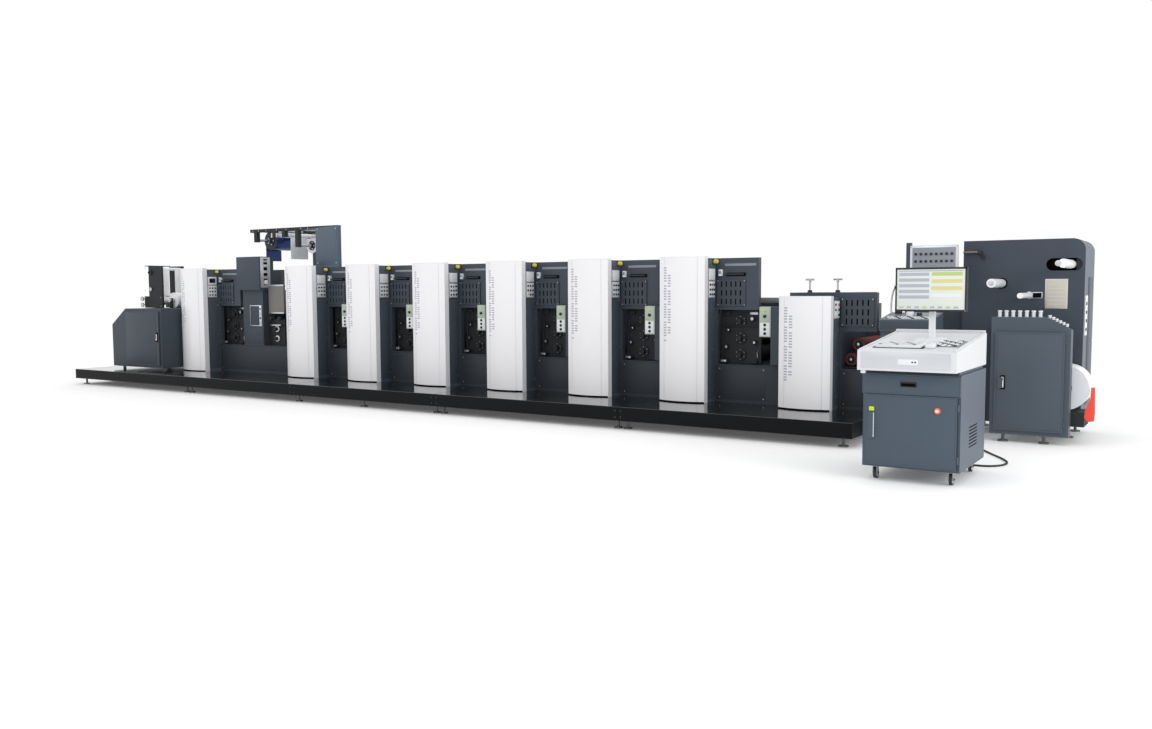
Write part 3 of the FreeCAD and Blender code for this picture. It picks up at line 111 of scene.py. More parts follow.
@dataclass(frozen=True)
class Finish:
    """A surface: its colour, its gloss and how it has weathered.

    The colour drifts a little over a metre or so, edges rub through to a
    lighter tone, and the gloss changes with both.
    """

    name: str
    colour: RGB
    roughness: float = 0.4
    metallic: float = 0.0
    texture: Texture = Texture.PEEL
    drift: float = 0.09
    grain: float = 0.0035
    relief: float = 0.12
    wear: float = 0.35
    worn: RGB = (0.36, 0.38, 0.4)
    coat: float = 0.0
    glow: float = 0.0
    gloss: float = 0.5
    centre: Point = (0.0, 0.0, 0.0)

    def material(self) -> bpy.types.Material:
        """Make the finish once.

        Returns:
            The material, the same one at every call.
        """
        known = bpy.data.materials.get(self.name)
        if known:
            return known
        made = bpy.data.materials.new(self.name)
        made.use_nodes = True
        nodes, links = made.node_tree.nodes, made.node_tree.links
        shader = nodes["Principled BSDF"]
        shader.inputs["Metallic"].default_value = self.metallic
        shader.inputs["Coat Weight"].default_value = self.coat
        shader.inputs["Coat Roughness"].default_value = 0.08
        shader.inputs["Specular IOR Level"].default_value = self.gloss
        if self.glow:
            shader.inputs["Emission Color"].default_value = (*self.colour, 1)
            shader.inputs["Emission Strength"].default_value = self.glow
        place = nodes.new("ShaderNodeTexCoord").outputs["Object"]
        cloud = self._noise(nodes, links, place, 1.3, 4.0)
        fine = self._noise(nodes, links, place, 1 / self.grain, 2.0)
        pattern = self._pattern(nodes, links, place, fine)
        drifted = self._mix(nodes, links, cloud,
                            tuple(c * (1 - self.drift) for c in self.colour),
                            tuple(min(1.0, c * (1 + self.drift)) for c in self.colour))
        # Painted shade in the hollows of the relief.
        hollows_shaded = self._shaded(nodes, links, drifted, pattern)
        rubbed = self._edges(nodes, links, fine)
        coloured = self._mix(nodes, links, rubbed, hollows_shaded, self.worn)
        links.new(coloured, shader.inputs["Base Color"])
        gloss = nodes.new("ShaderNodeMapRange")
        gloss.inputs["To Min"].default_value = max(0.02, self.roughness - 0.05)
        gloss.inputs["To Max"].default_value = min(1.0, self.roughness + 0.06)
        links.new(cloud, gloss.inputs["Value"])
        links.new(gloss.outputs["Result"], shader.inputs["Roughness"])
        bump = nodes.new("ShaderNodeBump")
        bump.inputs["Strength"].default_value = self.relief
        bump.inputs["Distance"].default_value = 0.0006
        links.new(pattern, bump.inputs["Height"])
        links.new(bump.outputs["Normal"], shader.inputs["Normal"])
        made.diffuse_color = (*self.colour, 1)
        return made

    @staticmethod
    def _noise(nodes: bpy.types.Nodes, links: bpy.types.NodeLinks,
               place: bpy.types.NodeSocket, scale: float, detail: float) -> bpy.types.NodeSocket:
        """Add a noise texture.

        Args:
            nodes: Nodes of the material.
            links: Links of the material.
            place: Socket that gives the point on the surface.
            scale: Waves to the metre.
            detail: Octaves of noise.

        Returns:
            The socket of its value.
        """
        noise = nodes.new("ShaderNodeTexNoise")
        noise.inputs["Scale"].default_value = scale
        noise.inputs["Detail"].default_value = detail
        links.new(place, noise.inputs["Vector"])
        return noise.outputs["Fac"]

    def _pattern(self, nodes: bpy.types.Nodes, links: bpy.types.NodeLinks,
                 place: bpy.types.NodeSocket, fine: bpy.types.NodeSocket) -> bpy.types.NodeSocket:
        """Add the relief that the kind of surface asks for.

        Args:
            nodes: Nodes of the material.
            links: Links of the material.
            place: Socket that gives the point on the surface.
            fine: Fine noise, which paint, plastic and rubber use as it is.

        Returns:
            The socket of the relief's height.
        """
        if self.texture in (Texture.PEEL, Texture.MOULDED):
            return fine
        stretch = nodes.new("ShaderNodeMapping")
        links.new(place, stretch.inputs["Vector"])
        if self.texture in (Texture.BRUSHED, Texture.PAPER):
            drawn = self.texture is Texture.BRUSHED
            stretch.inputs["Scale"].default_value = (3, 420, 420) if drawn else (9, 9, 9)
            return self._noise(nodes, links, stretch.outputs["Vector"], 1.0, 3.0)
        wave = nodes.new("ShaderNodeTexWave")
        wave.inputs["Distortion"].default_value = 0.6
        wave.inputs["Detail"].default_value = 1.5
        if self.texture is Texture.WOUND:
            stretch.inputs["Location"].default_value = [-c for c in row(self.centre)]
            wave.wave_type = "RINGS"
            wave.rings_direction = "Y"
            wave.inputs["Scale"].default_value = 55
        else:
            wave.bands_direction = "X" if self.texture is Texture.RIBBED else "Y"
            wave.inputs["Scale"].default_value = 16 if self.texture is Texture.RIBBED else 60
            wave.inputs["Distortion"].default_value = 0.0
        links.new(stretch.outputs["Vector"], wave.inputs["Vector"])
        return wave.outputs["Fac"]

    def _shaded(self, nodes: bpy.types.Nodes, links: bpy.types.NodeLinks,
                colour: bpy.types.NodeSocket,
                pattern: bpy.types.NodeSocket) -> bpy.types.NodeSocket:
        """Darken the hollows of the relief with painted shade.

        Args:
            nodes: Nodes of the material.
            links: Links of the material.
            colour: Colour so far.
            pattern: Height of the relief.

        Returns:
            The socket of the shaded colour.
        """
        # Painted shade: the low parts of the relief are mixed towards a darker copy of the colour,
        # most for rings and ribs.
        depth = {Texture.WOUND: 0.22, Texture.RIBBED: 0.3, Texture.PAPER: 0.05,
                 Texture.TURNED: 0.12}.get(self.texture, 0.08)
        amount = nodes.new("ShaderNodeMapRange")
        amount.inputs["From Min"].default_value = 0.3
        amount.inputs["From Max"].default_value = 0.7
        amount.inputs["To Min"].default_value = depth
        amount.inputs["To Max"].default_value = 0.0
        links.new(pattern, amount.inputs["Value"])
        return self._mix(nodes, links, amount.outputs["Result"], colour,
                         tuple(c * 0.35 for c in self.colour))

    def _edges(self, nodes: bpy.types.Nodes, links: bpy.types.NodeLinks,
               fine: bpy.types.NodeSocket) -> bpy.types.NodeSocket:
        """Find the edges that have rubbed.

        Args:
            nodes: Nodes of the material.
            links: Links of the material.
            fine: Fine noise, which breaks the rubbed line up.

        Returns:
            The socket of how far each point has rubbed, from 0 to 1.
        """
        rounded = nodes.new("ShaderNodeBevel")
        rounded.samples = 4
        rounded.inputs["Radius"].default_value = 0.004
        facing = nodes.new("ShaderNodeVectorMath")
        facing.operation = "DOT_PRODUCT"
        surface = nodes.new("ShaderNodeNewGeometry")
        links.new(rounded.outputs["Normal"], facing.inputs[0])
        links.new(surface.outputs["Normal"], facing.inputs[1])
        turned = nodes.new("ShaderNodeMapRange")
        turned.inputs["From Min"].default_value = 0.995
        turned.inputs["From Max"].default_value = 0.85
        turned.inputs["To Max"].default_value = self.wear
        links.new(facing.outputs["Value"], turned.inputs["Value"])
        broken = nodes.new("ShaderNodeMath")
        broken.operation = "MULTIPLY"
        links.new(turned.outputs["Result"], broken.inputs[0])
        links.new(fine, broken.inputs[1])
        return broken.outputs["Value"]

    @staticmethod
    def _mix(nodes: bpy.types.Nodes, links: bpy.types.NodeLinks, share: bpy.types.NodeSocket,
             first: RGB | bpy.types.NodeSocket, second: RGB | bpy.types.NodeSocket,
             ) -> bpy.types.NodeSocket:
        """Blend two colours.

        Args:
            nodes: Nodes of the material.
            links: Links of the material.
            share: How much of the second colour shows.
            first: A colour or the socket of one.
            second: A colour or the socket of one.

        Returns:
            The socket of the blended colour.
        """
        blend = nodes.new("ShaderNodeMix")
        blend.data_type = "RGBA"
        links.new(share, blend.inputs[0])
        for socket, value in ((blend.inputs[6], first), (blend.inputs[7], second)):
            if isinstance(value, bpy.types.NodeSocket):
                links.new(value, socket)
            else:
                socket.default_value = (*value, 1)
        return blend.outputs[2]


def sheet_paint(name: str, card: tuple[int, int, int], roughness: float) -> Finish:
    """Mix the low-gloss paint of the sheet metal.

    Args:
        name: Name of the finish.
        card: Its paint card.
        roughness: Its roughness.

    Returns:
        The finish.
    """
    return Finish(name, paint_card(*card), roughness=roughness, gloss=0.2)


def lit_page(name: str, card: tuple[int, int, int], glow: float = 0.08) -> Finish:
    """Light one tone of the display.

    Args:
        name: Name of the finish.
        card: Its paint card.
        glow: Strength of its own light.

    Returns:
        The finish.
    """
    return Finish(name, paint_card(*card), roughness=0.3, glow=glow, drift=0.01, wear=0.0)


CHARCOAL = sheet_paint("charcoal_paint", (64, 72, 81), 0.42)
BED_GREY = sheet_paint("bed_paint", (58, 63, 69), 0.46)
# Column paint, also used as painted light on the lit +X faces of the unwinder housing and the
# console.
COLUMN_AND_LIT_SIDE_BLUE = sheet_paint("column_and_lit_side_paint", (84, 95, 108), 0.4)
UNWINDER_GREY = sheet_paint("unwinder_paint", (66, 74, 84), 0.36)
CABINET_GREY = sheet_paint("cabinet_paint", (78, 87, 97), 0.4)
DOOR_GREY = sheet_paint("door_paint", (76, 85, 95), 0.38)
CONSOLE_GREY = sheet_paint("console_paint", (74, 86, 98), 0.38)
TOWER_BLUE = sheet_paint("tower_paint", (84, 96, 110), 0.38)
COVER_WHITE = Finish("cover_enamel", paint_card(236, 236, 239), roughness=0.3, drift=0.015,
                     relief=0.04, wear=0.12, worn=(0.55, 0.56, 0.58), coat=0.25)
COVER_DASH = Finish("cover_dash", paint_card(168, 170, 184), roughness=0.4, drift=0.03, wear=0.1)
# Painted shade: a darker, duller copy of the base paint for the faces that do not look up.
SHADED_BASE_SIDE = Finish("shaded_base_side", paint_card(15, 16, 18), roughness=0.4, gloss=0.1, drift=0.2,
                   wear=0.2, worn=(0.05, 0.05, 0.055))
BASE_BLACK = Finish("base_lacquer", paint_card(22, 24, 26), roughness=0.13, drift=0.2,
                    relief=0.03, wear=0.3, coat=0.5)
IRON = Finish("dark_iron", paint_card(30, 33, 38), roughness=0.55, metallic=0.3, drift=0.16,
              gloss=0.25)
SHADOW = Finish("shadow_gap", paint_card(8, 9, 10), roughness=0.8, drift=0.2, wear=0.0,
                gloss=0.05)
CHROME = Finish("ground_chrome", paint_card(198, 201, 204), roughness=0.16, metallic=1.0,
                texture=Texture.TURNED, drift=0.05, wear=0.1)
STEEL = Finish("drawn_steel", paint_card(186, 189, 192), roughness=0.3, metallic=1.0,
               texture=Texture.BRUSHED, drift=0.08, wear=0.2, worn=(0.8, 0.8, 0.8))
FOOT_ZINC = Finish("foot_zinc", paint_card(104, 108, 106), roughness=0.42, metallic=0.5,
                   texture=Texture.MOULDED, grain=0.02, drift=0.14)
ZINC = Finish("zinc_plate", paint_card(170, 174, 176), roughness=0.34, metallic=0.9,
              texture=Texture.MOULDED, grain=0.02, drift=0.14)
SATIN = Finish("satin_aluminium", paint_card(205, 208, 212), roughness=0.36, metallic=0.75,
               texture=Texture.BRUSHED, drift=0.05)
BRASS = Finish("brass", paint_card(158, 138, 120), roughness=0.34, metallic=0.8,
               texture=Texture.BRUSHED, drift=0.1)
INK_RUBBER = Finish("ink_rubber", paint_card(22, 24, 34), roughness=0.3,
                    texture=Texture.TURNED, drift=0.25, wear=0.05)
RED_RUBBER = Finish("red_rubber", paint_card(112, 30, 26), roughness=0.42,
                    texture=Texture.TURNED, drift=0.15, wear=0.05)
BLACK_PLASTIC = Finish("black_plastic", paint_card(26, 27, 30), roughness=0.45,
                       texture=Texture.MOULDED, grain=0.0012, drift=0.12)
TYRE = Finish("caster_tyre", paint_card(46, 47, 50), roughness=0.7, texture=Texture.MOULDED,
              drift=0.15, wear=0.1)
PALE_PLASTIC = Finish("pale_plastic", paint_card(226, 229, 232), roughness=0.42,
                      texture=Texture.MOULDED, drift=0.03, wear=0.1)
PANEL_GREY = Finish("panel_film", paint_card(128, 134, 142), roughness=0.5, drift=0.05)
BOX_GREEN = Finish("box_enamel", paint_card(176, 188, 172), roughness=0.42, drift=0.04)
SCREEN_BEIGE = Finish("ribbed_screen", paint_card(122, 120, 116), roughness=0.55,
                      texture=Texture.RIBBED, relief=0.5, drift=0.08)
NOTICE = Finish("bare_notice", paint_card(196, 190, 176), roughness=0.55, drift=0.06,
                texture=Texture.PAPER, wear=0.1)
WEB_WHITE = Finish("label_paper", paint_card(240, 241, 242), roughness=0.5,
                   texture=Texture.PAPER, drift=0.02, wear=0.0)
FOIL_BLUE = Finish("blue_foil", paint_card(30, 54, 104), roughness=0.2, metallic=0.7,
                   texture=Texture.PAPER, drift=0.3, relief=0.3, wear=0.0)
FOIL_SILVER = Finish("silver_foil", paint_card(214, 218, 226), roughness=0.22, metallic=0.5,
                     texture=Texture.PAPER, drift=0.1, relief=0.3, wear=0.0)
ROLLER_WHITE = Finish("roller_sleeve", paint_card(238, 239, 240), roughness=0.34,
                      texture=Texture.TURNED, drift=0.02, relief=0.04, wear=0.1)
STOP_YELLOW = Finish("stop_yellow", paint_card(224, 184, 44), roughness=0.4, drift=0.05)
STOP_RED = Finish("stop_red", paint_card(186, 34, 26), roughness=0.32, drift=0.06)
AMBER = Finish("amber_lens", paint_card(236, 104, 30), roughness=0.22, glow=0.25, drift=0.04)
LIME = Finish("lime_lens", paint_card(182, 206, 40), roughness=0.3, glow=0.15, drift=0.04)
LEVER_RED = Finish("lever_dip", paint_card(238, 62, 30), roughness=0.26, coat=0.5, drift=0.04,
                   texture=Texture.MOULDED, wear=0.1)
WORKTOP = Finish("worktop_enamel", paint_card(214, 216, 219), roughness=0.4, drift=0.03,
                 wear=0.15)
CORD_BLACK = Finish("cable_sheath", paint_card(30, 31, 33), roughness=0.5,
                    texture=Texture.MOULDED, grain=0.001, drift=0.1, wear=0.0)
GLASS = Finish("display_glass", paint_card(18, 24, 34), roughness=0.08, drift=0.1, wear=0.0,
               coat=0.6)
SCREEN_WHITE = lit_page("display_page", (206, 212, 206), 0.12)
SCREEN_GREY = lit_page("display_grey", (164, 170, 182))
SCREEN_YELLOW = lit_page("display_yellow", (208, 198, 130))
SCREEN_GREEN = lit_page("display_green", (176, 192, 116))
PALE_FLOOR = Finish("pale_floor", (0.96, 0.96, 0.96), roughness=0.9, drift=0.0, relief=0.0,
                    wear=0.0, gloss=0.1, glow=0.08)


class Maker:
    """One piece, put together from blocks, turned parts, tubes and cut sheets.

    Every size and place is in millimetres, in line coordinates.
    """

    def __init__(self, name: str, *finishes: Finish) -> None:
        """Start an empty piece.

        Args:
            name: Name of the piece.
            finishes: Its finishes; parts pick one by its place in this list.
        """
        self.name = name
        self.finishes = finishes
        self.mesh = bmesh.new()

    def block(self, low: Point, high: Point, edge: float = 2.0, finish: int = 0,
              rounds: int = EDGE_ROUNDS) -> "Maker":
        """Add a block with rounded edges.

        Args:
            low: Lowest corner.
            high: Highest corner.
            edge: Radius of the edges, 0 for sharp ones.
            finish: Which finish it takes.
            rounds: Facets across each edge.

        Returns:
            The piece, so that calls chain.
        """
        corners = bmesh.ops.create_cube(self.mesh, size=1.0)["verts"]
        for corner in corners:
            corner.co = Vector(lo + (c + 0.5) * (hi - lo)
                               for c, lo, hi in zip(corner.co, low, high))
        for face in {f for c in corners for f in c.link_faces}:
            face.material_index = finish
        limit = BLOCK_EDGE_SHARE * min(abs(hi - lo) for lo, hi in zip(low, high))
        self._ease({e for c in corners for e in c.link_edges}, min(edge, limit), rounds)
        return self

    def _ease(self, edges: Iterable[bmesh.types.BMEdge], radius: float, rounds: int) -> None:
        """Round edges off.

        Args:
            edges: The edges.
            radius: Their radius, 0 to leave them sharp.
            rounds: Facets across each edge.
        """
        if radius:
            bmesh.ops.bevel(self.mesh, geom=list(edges), offset=radius, offset_type="OFFSET",
                            segments=rounds, profile=0.5, affect="EDGES", clamp_overlap=True,
                            material=-1)

    def _skin(self, rings: Sequence[Sequence[bmesh.types.BMVert]], finish: int) -> "Maker":
        """Close a row of rings of corners into one skin.

        Args:
            rings: Rings with as many corners each.
            finish: Which finish it takes.

        Returns:
            The piece, so that calls chain.
        """
        count = len(rings[0])
        faces = [self.mesh.faces.new(rings[0]), self.mesh.faces.new(rings[-1])]
        for first, second in zip(rings, rings[1:]):
            faces += [self.mesh.faces.new((first[i], first[(i + 1) % count],
                                           second[(i + 1) % count], second[i]))
                      for i in range(count)]
        for face in faces:
            face.material_index = finish
        return self

    def sheet(self, outline: Sequence[Pair], axis: Axis, low: float, high: float,
              edge: float = 1.0, finish: int = 0) -> "Maker":
        """Add a plate cut to an outline.

        Args:
            outline: Corners, as the two coordinates other than the axis.
            axis: Direction of its thickness.
            low: Where the thickness starts.
            high: Where it ends.
            edge: Radius of the edges, 0 for sharp ones.
            finish: Which finish it takes.

        Returns:
            The piece, so that calls chain.
        """
        def corner(pair: Pair, along: float) -> bmesh.types.BMVert:
            """Put one corner in place."""
            point = list(pair)
            point.insert(axis.value, along)
            return self.mesh.verts.new(point)

        near = [corner(pair, low) for pair in outline]
        far = [corner(pair, high) for pair in outline]
        self._skin((near, far), finish)
        self._ease({e for corner in (*near, *far) for e in corner.link_edges},
                   min(edge, SHEET_EDGE_SHARE * abs(high - low)), EDGE_ROUNDS)
        return self

    def louvre(self, face: float, z: float, size: Pair, across: Pair, edge: float,
               finish: int) -> "Maker":
        """Add one pressed louvre to a rear face.

        Args:
            face: Y that it stands on.
            z: Its lower edge.
            size: How far it stands out, and its height.
            across: Its two ends.
            edge: Radius of the edges.
            finish: Which finish it takes.

        Returns:
            The piece, so that calls chain.
        """
        return self.sheet([(face, z), (face + size[0], z - 2), (face, z + size[1])], Axis.X,
                          *across, edge, finish)

    def turned(self, start: Point, axis: Axis, profile: Sequence[Pair], sides: int = 28,
               finish: int = 0) -> "Maker":
        """Add a part turned about an axis.

        Args:
            start: Point on the axis that the profile is measured from.
            axis: Direction of the axis.
            profile: Pairs of distance along the axis and radius.
            sides: Facets round it.
            finish: Which finish it takes.

        Returns:
            The piece, so that calls chain.
        """
        rings = []
        for along, radius in profile:
            ring = []
            for step in range(sides):
                angle = 2 * math.pi * step / sides
                offset = [radius * math.cos(angle), radius * math.sin(angle)]
                offset.insert(axis.value, along)
                ring.append(self.mesh.verts.new(Vector(start) + Vector(offset)))
            rings.append(ring)
        return self._skin(rings, finish)

    def tube(self, points: Sequence[Point], radius: float, finish: int = 0,
             sides: int = 10) -> "Maker":
        """Add a rod bent smoothly through points.

        Args:
            points: Points that it passes through.
            radius: Its radius.
            finish: Which finish it takes.
            sides: Facets round it.

        Returns:
            The piece, so that calls chain.
        """
        knots = [Vector(p) for p in points]
        knots = [2 * knots[0] - knots[1], *knots, 2 * knots[-1] - knots[-2]]
        line = []
        for a, b, c, d in zip(knots, knots[1:], knots[2:], knots[3:]):
            for step in range(TUBE_STEPS):
                t = step / TUBE_STEPS
                line.append(0.5 * (2 * b + (c - a) * t + (2 * a - 5 * b + 4 * c - d) * t ** 2
                                   + (3 * b - a - 3 * c + d) * t ** 3))
        line.append(knots[-2])
        side = (line[1] - line[0]).orthogonal().normalized()
        rings = []
        for index, point in enumerate(line):
            ahead = (line[min(index + 1, len(line) - 1)] - line[max(index - 1, 0)]).normalized()
            side = (side - side.dot(ahead) * ahead).normalized()
            other = ahead.cross(side)
            rings.append([self.mesh.verts.new(
                point + radius * (math.cos(2 * math.pi * k / sides) * side
                                  + math.sin(2 * math.pi * k / sides) * other))
                for k in range(sides)])
        return self._skin(rings, finish)

    def screw(self, at: Point, axis: Axis, out: float, radius: float = 7.0,
              finish: int = 0) -> "Maker":
        """Add a domed screw head.

        Args:
            at: Centre of its seat.
            axis: Direction that it was driven along.
            out: How far it stands out, negative to stand out the other way.
            radius: Radius of the head.
            finish: Which finish it takes.

        Returns:
            The piece, so that calls chain.
        """
        return self.turned(at, axis, [(-0.5 * out, radius), (0.5 * out, radius),
                                      (0.9 * out, 0.7 * radius), (out, 0.25 * radius)],
                           12, finish)

    def done(self, body: str = "press") -> bpy.types.Object:
        """Finish the piece and hang it on its body.

        Args:
            body: Body that it moves with.

        Returns:
            The piece.
        """
        bmesh.ops.recalc_face_normals(self.mesh, faces=self.mesh.faces)
        for edge in self.mesh.edges:
            edge.smooth = edge.calc_face_angle(0.0) < SMOOTH_ANGLE
        for face in self.mesh.faces:
            face.smooth = True
        self.mesh.transform(LINE_TO_ROW)
        data = bpy.data.meshes.new(self.name)
        self.mesh.to_mesh(data)
        self.mesh.free()
        for finish in self.finishes:
            data.materials.append(finish.material())
        piece = bpy.data.objects.new(self.name, data)
        bpy.context.scene.collection.objects.link(piece)
        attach(piece, body)
        LOG.info("made %s, which rides on %s", self.name, body)
        return piece


def dress(node: str, *finishes: Finish,
          choose: Callable[[Vector, Vector], int] | None = None) -> None:
    """Give a piece of the frame its finish.

    Args:
        node: Name of the piece.
        finishes: Finishes that it shows.
        choose: Picks one of the finishes for a face, from the middle of the
            face in line coordinates and from its outward direction.
    """
    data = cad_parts[node].data
    data.materials.clear()
    for finish in finishes:
        data.materials.append(finish.material())
    to_line = LINE_TO_ROW.inverted()
    for face in data.polygons:
        face.material_index = choose(to_line @ face.center, face.normal) if choose else 0
    LOG.info("dressed %s", node)


def dress_each(**looks: Finish) -> None:
    """Give several pieces of the frame one finish each.

    Args:
        looks: Finish of each piece, by its name.
    """
    for node, finish in looks.items():
        dress(node, finish)


UNIT_PITCH = 1157.0
UNIT_STARTS = (1650.0, *(3951.0 + UNIT_PITCH * k for k in range(6)))
INFEED_START = 11060.0
DECK = 231.0
BEARING_FACE = 1111.0
FOUR_WHEELS = ("front_left", "front_right", "rear_left", "rear_right")


@dataclass
class BasePlatform:
    """The lacquered platform, its joints and its levelling feet."""

    joints: tuple[float, ...] = (2625.0, 4855.0, 7215.0, 9645.0)
    length: float = 12030.0
    depth: float = 2060.0
    bottom: float = 90.0

    def build(self) -> None:
        """Dress the platform and add its joint strips, edge trim and bolts."""
        # The side faces take the darker copy of the base paint, a painted shade; the top keeps the
        # lacquer.
        dress("base_platform", SHADED_BASE_SIDE, BASE_BLACK,
              choose=lambda middle, out: 1 if out.z > 0.5 else 0)
        dress_each(levelling_feet=FOOT_ZINC, link_housing=UNWINDER_GREY)
        strips = Maker("base_joints", SHADOW, IRON)
        for x in self.joints:
            strips.block((x - 1.5, -0.6, self.bottom + 6), (x + 1.5, 3, DECK - 5), 0)
            strips.block((x - 1.5, 3, DECK - 2), (x + 1.5, 640, DECK + 0.6), 0)
            for z in (self.bottom + 36, DECK - 40):
                for side in (-32, 32):
                    strips.screw((x + side, 0, z), Axis.Y, -5, 11, 1)
        strips.done()
        trim = Maker("base_trim", SHADED_BASE_SIDE)
        trim.block((0, -2, self.bottom), (self.length, 4, self.bottom + 16), 1.5)
        trim.block((-2, 0, self.bottom), (4, self.depth, self.bottom + 16), 1.5)
        trim.done()


@dataclass
class Covers:
    """White bowed covers, one in front of each column."""

    width: float = 520.0
    front: float = 715.0
    bulge: float = 60.0
    top: float = 1740.0
    infeed_top: float = 1332.0
    dash: Pair = (38.0, 13.0)
    dash_pitch: float = 27.0
    dash_columns: tuple[Pair, ...] = ((62.0, 0.0), (118.0, 3.0))

    def face(self, across: float, out: float = 0.0) -> float:
        """Find the bowed face.

        Args:
            across: Distance from the left edge of the cover.
            out: How far in front of the face.

        Returns:
            Its Y.
        """
        radius = ((self.width / 2) ** 2 + self.bulge ** 2) / (2 * self.bulge) + out
        return (self.front - self.bulge - out + radius
                - math.sqrt(radius ** 2 - (across - self.width / 2) ** 2))

    def strip(self, start: float, out: float, back: float,
              first: float = 1.0, last: float = 519.0) -> list[Pair]:
        """Outline a strip that follows the bow.

        Args:
            start: Left edge of the cover.
            out: How far it stands out of the face.
            back: How far it reaches into the cover.
            first: Where it begins across the cover.
            last: Where it ends.

        Returns:
            Its corners in plan.
        """
        steps = [first + (last - first) * k / BOW_STEPS for k in range(BOW_STEPS + 1)]
        return ([(start + a, self.face(a, out)) for a in steps]
                + [(start + a, self.face(a) + back) for a in reversed(steps)])

    def build(self) -> None:
        """Dress the covers and add lips, grey strips that paint the shade in the folds, and the
        pressed dashes.
        """
        dress("unit_covers", COVER_WHITE)
        lips = Maker("cover_lips", COVER_WHITE, SHADOW, WORKTOP)
        dashes = Maker("cover_dashes", COVER_DASH)
        tops = [(start, self.top) for start in UNIT_STARTS] + [(INFEED_START, self.infeed_top)]
        for start, top in tops:
            lips.sheet(self.strip(start, 1.5, 9), Axis.Z, top - 9, top + 2, 1.0)
            lips.sheet(self.strip(start, 2.0, 9), Axis.Z, DECK, DECK + 13, 0, 1)
            # Painted shade: thin strips of darker grey stand for the shade in the two folds of
            # each cover.
            lips.sheet(self.strip(start, 2.2, 6, 448, 452), Axis.Z, DECK + 16, top - 12, 0, 2)
            lips.sheet(self.strip(start, 2.2, 6, 66, 69), Axis.Z, DECK + 16, top - 12, 0, 2)
            rows = int((top - DECK) * (0.52 if top > 1500 else 0.7) / self.dash_pitch)
            for column, (across, drop) in enumerate(self.dash_columns):
                for k in range(rows - 2 * int(drop)):
                    if (k + column) % 7 == 6:
                        continue
                    z = top - 106 - (k + drop) * self.dash_pitch
                    dashes.sheet(self.strip(start, 0.8, 3, across, across + self.dash[0]),
                                 Axis.Z, z - self.dash[1], z, 0)
        lips.done()
        dashes.done()


@dataclass
class Columns:
    """Dark columns behind the covers, with the side panels that they carry."""

    inset: float = 505.0
    unit_panel: Pair = (1310.0, 310.0)
    infeed_panel: Pair = (1110.0, 180.0)
    tall_panel: float = 200.0

    def build(self) -> None:
        """Dress the columns and add doors, screens, keys and stop buttons."""
        dress_each(unit_columns=COLUMN_AND_LIT_SIDE_BLUE, side_panels=PANEL_GREY, stop_buttons=STOP_YELLOW)
        doors = Maker("column_doors", DOOR_GREY, STEEL, SHADOW)
        keys = Maker("panel_keys", PALE_PLASTIC, GLASS, BLACK_PLASTIC, STOP_RED, LIME, SATIN)
        stops = Maker("stop_caps", STOP_YELLOW, BLACK_PLASTIC)
        starts = [(start, *self.unit_panel) for start in UNIT_STARTS]
        starts.append((INFEED_START, *self.infeed_panel))
        for index, (start, bottom, height) in enumerate(starts):
            side = start + self.inset
            doors.block((side - 1, 806, DECK + 30), (side + 3, 990, bottom - 40), 1.5)
            for z in (DECK + 120, (DECK + bottom) / 2, bottom - 110):
                doors.turned((side + 2, 972, z), Axis.X, [(0, 10), (4, 10), (5, 8)], 16, 1)
                doors.block((side + 6, 971, z - 7), (side + 8, 973, z + 7), 0, 2)
            self.panel(keys, index, side + 18, bottom, height)
            if index < len(UNIT_STARTS):
                stops.turned((side + 36, 956, 1690), Axis.X,
                             [(-2, 10), (3, 10), (4, 19), (11, 19), (15, 14), (16.5, 5)])
                stops.block((side - 1, 926, 1660), (side + 8, 986, 1720), 3, 1)
        doors.done()
        keys.done()
        stops.done()

    def panel(self, keys: Maker, index: int, face: float, bottom: float, height: float) -> None:
        """Lay out one side panel.

        Args:
            keys: Piece that collects the panels' fittings.
            index: Which unit, counted from the outfeed.
            face: X of the panel's face.
            bottom: Z of its lower edge.
            height: Height of the panel.
        """
        keys.block((face - 1, 795, bottom + 3), (face + 2, 954, bottom + height - 3), 1, 5)
        low = bottom
        if height > self.tall_panel:
            keys.block((face, 806, bottom + 190), (face + 6, 944, bottom + 302), 3)
            if index == 0:
                keys.block((face + 4, 822, bottom + 216), (face + 7.5, 928, bottom + 282), 1, 1)
        rows, across = (3, 3) if height > self.tall_panel else (3, 2)
        keys.block((face, 806, low + 12), (face + 4, 944, low + 174), 2)
        for r in range(rows):
            for c in range(across):
                y = 828 + c * (92 / (across - 1))
                z = low + 40 + r * 50
                kind = 3 if (r, c) == (2, 1) and index in (3, 6, 7) else (4 if (r, c) == (0, 0)
                                                                         and index % 3 == 1 else 2)
                keys.turned((face + 3, y, z), Axis.X, [(0, 13), (4, 13), (4.5, 11), (9, 10.5),
                                                       (10, 8)], 18, kind)


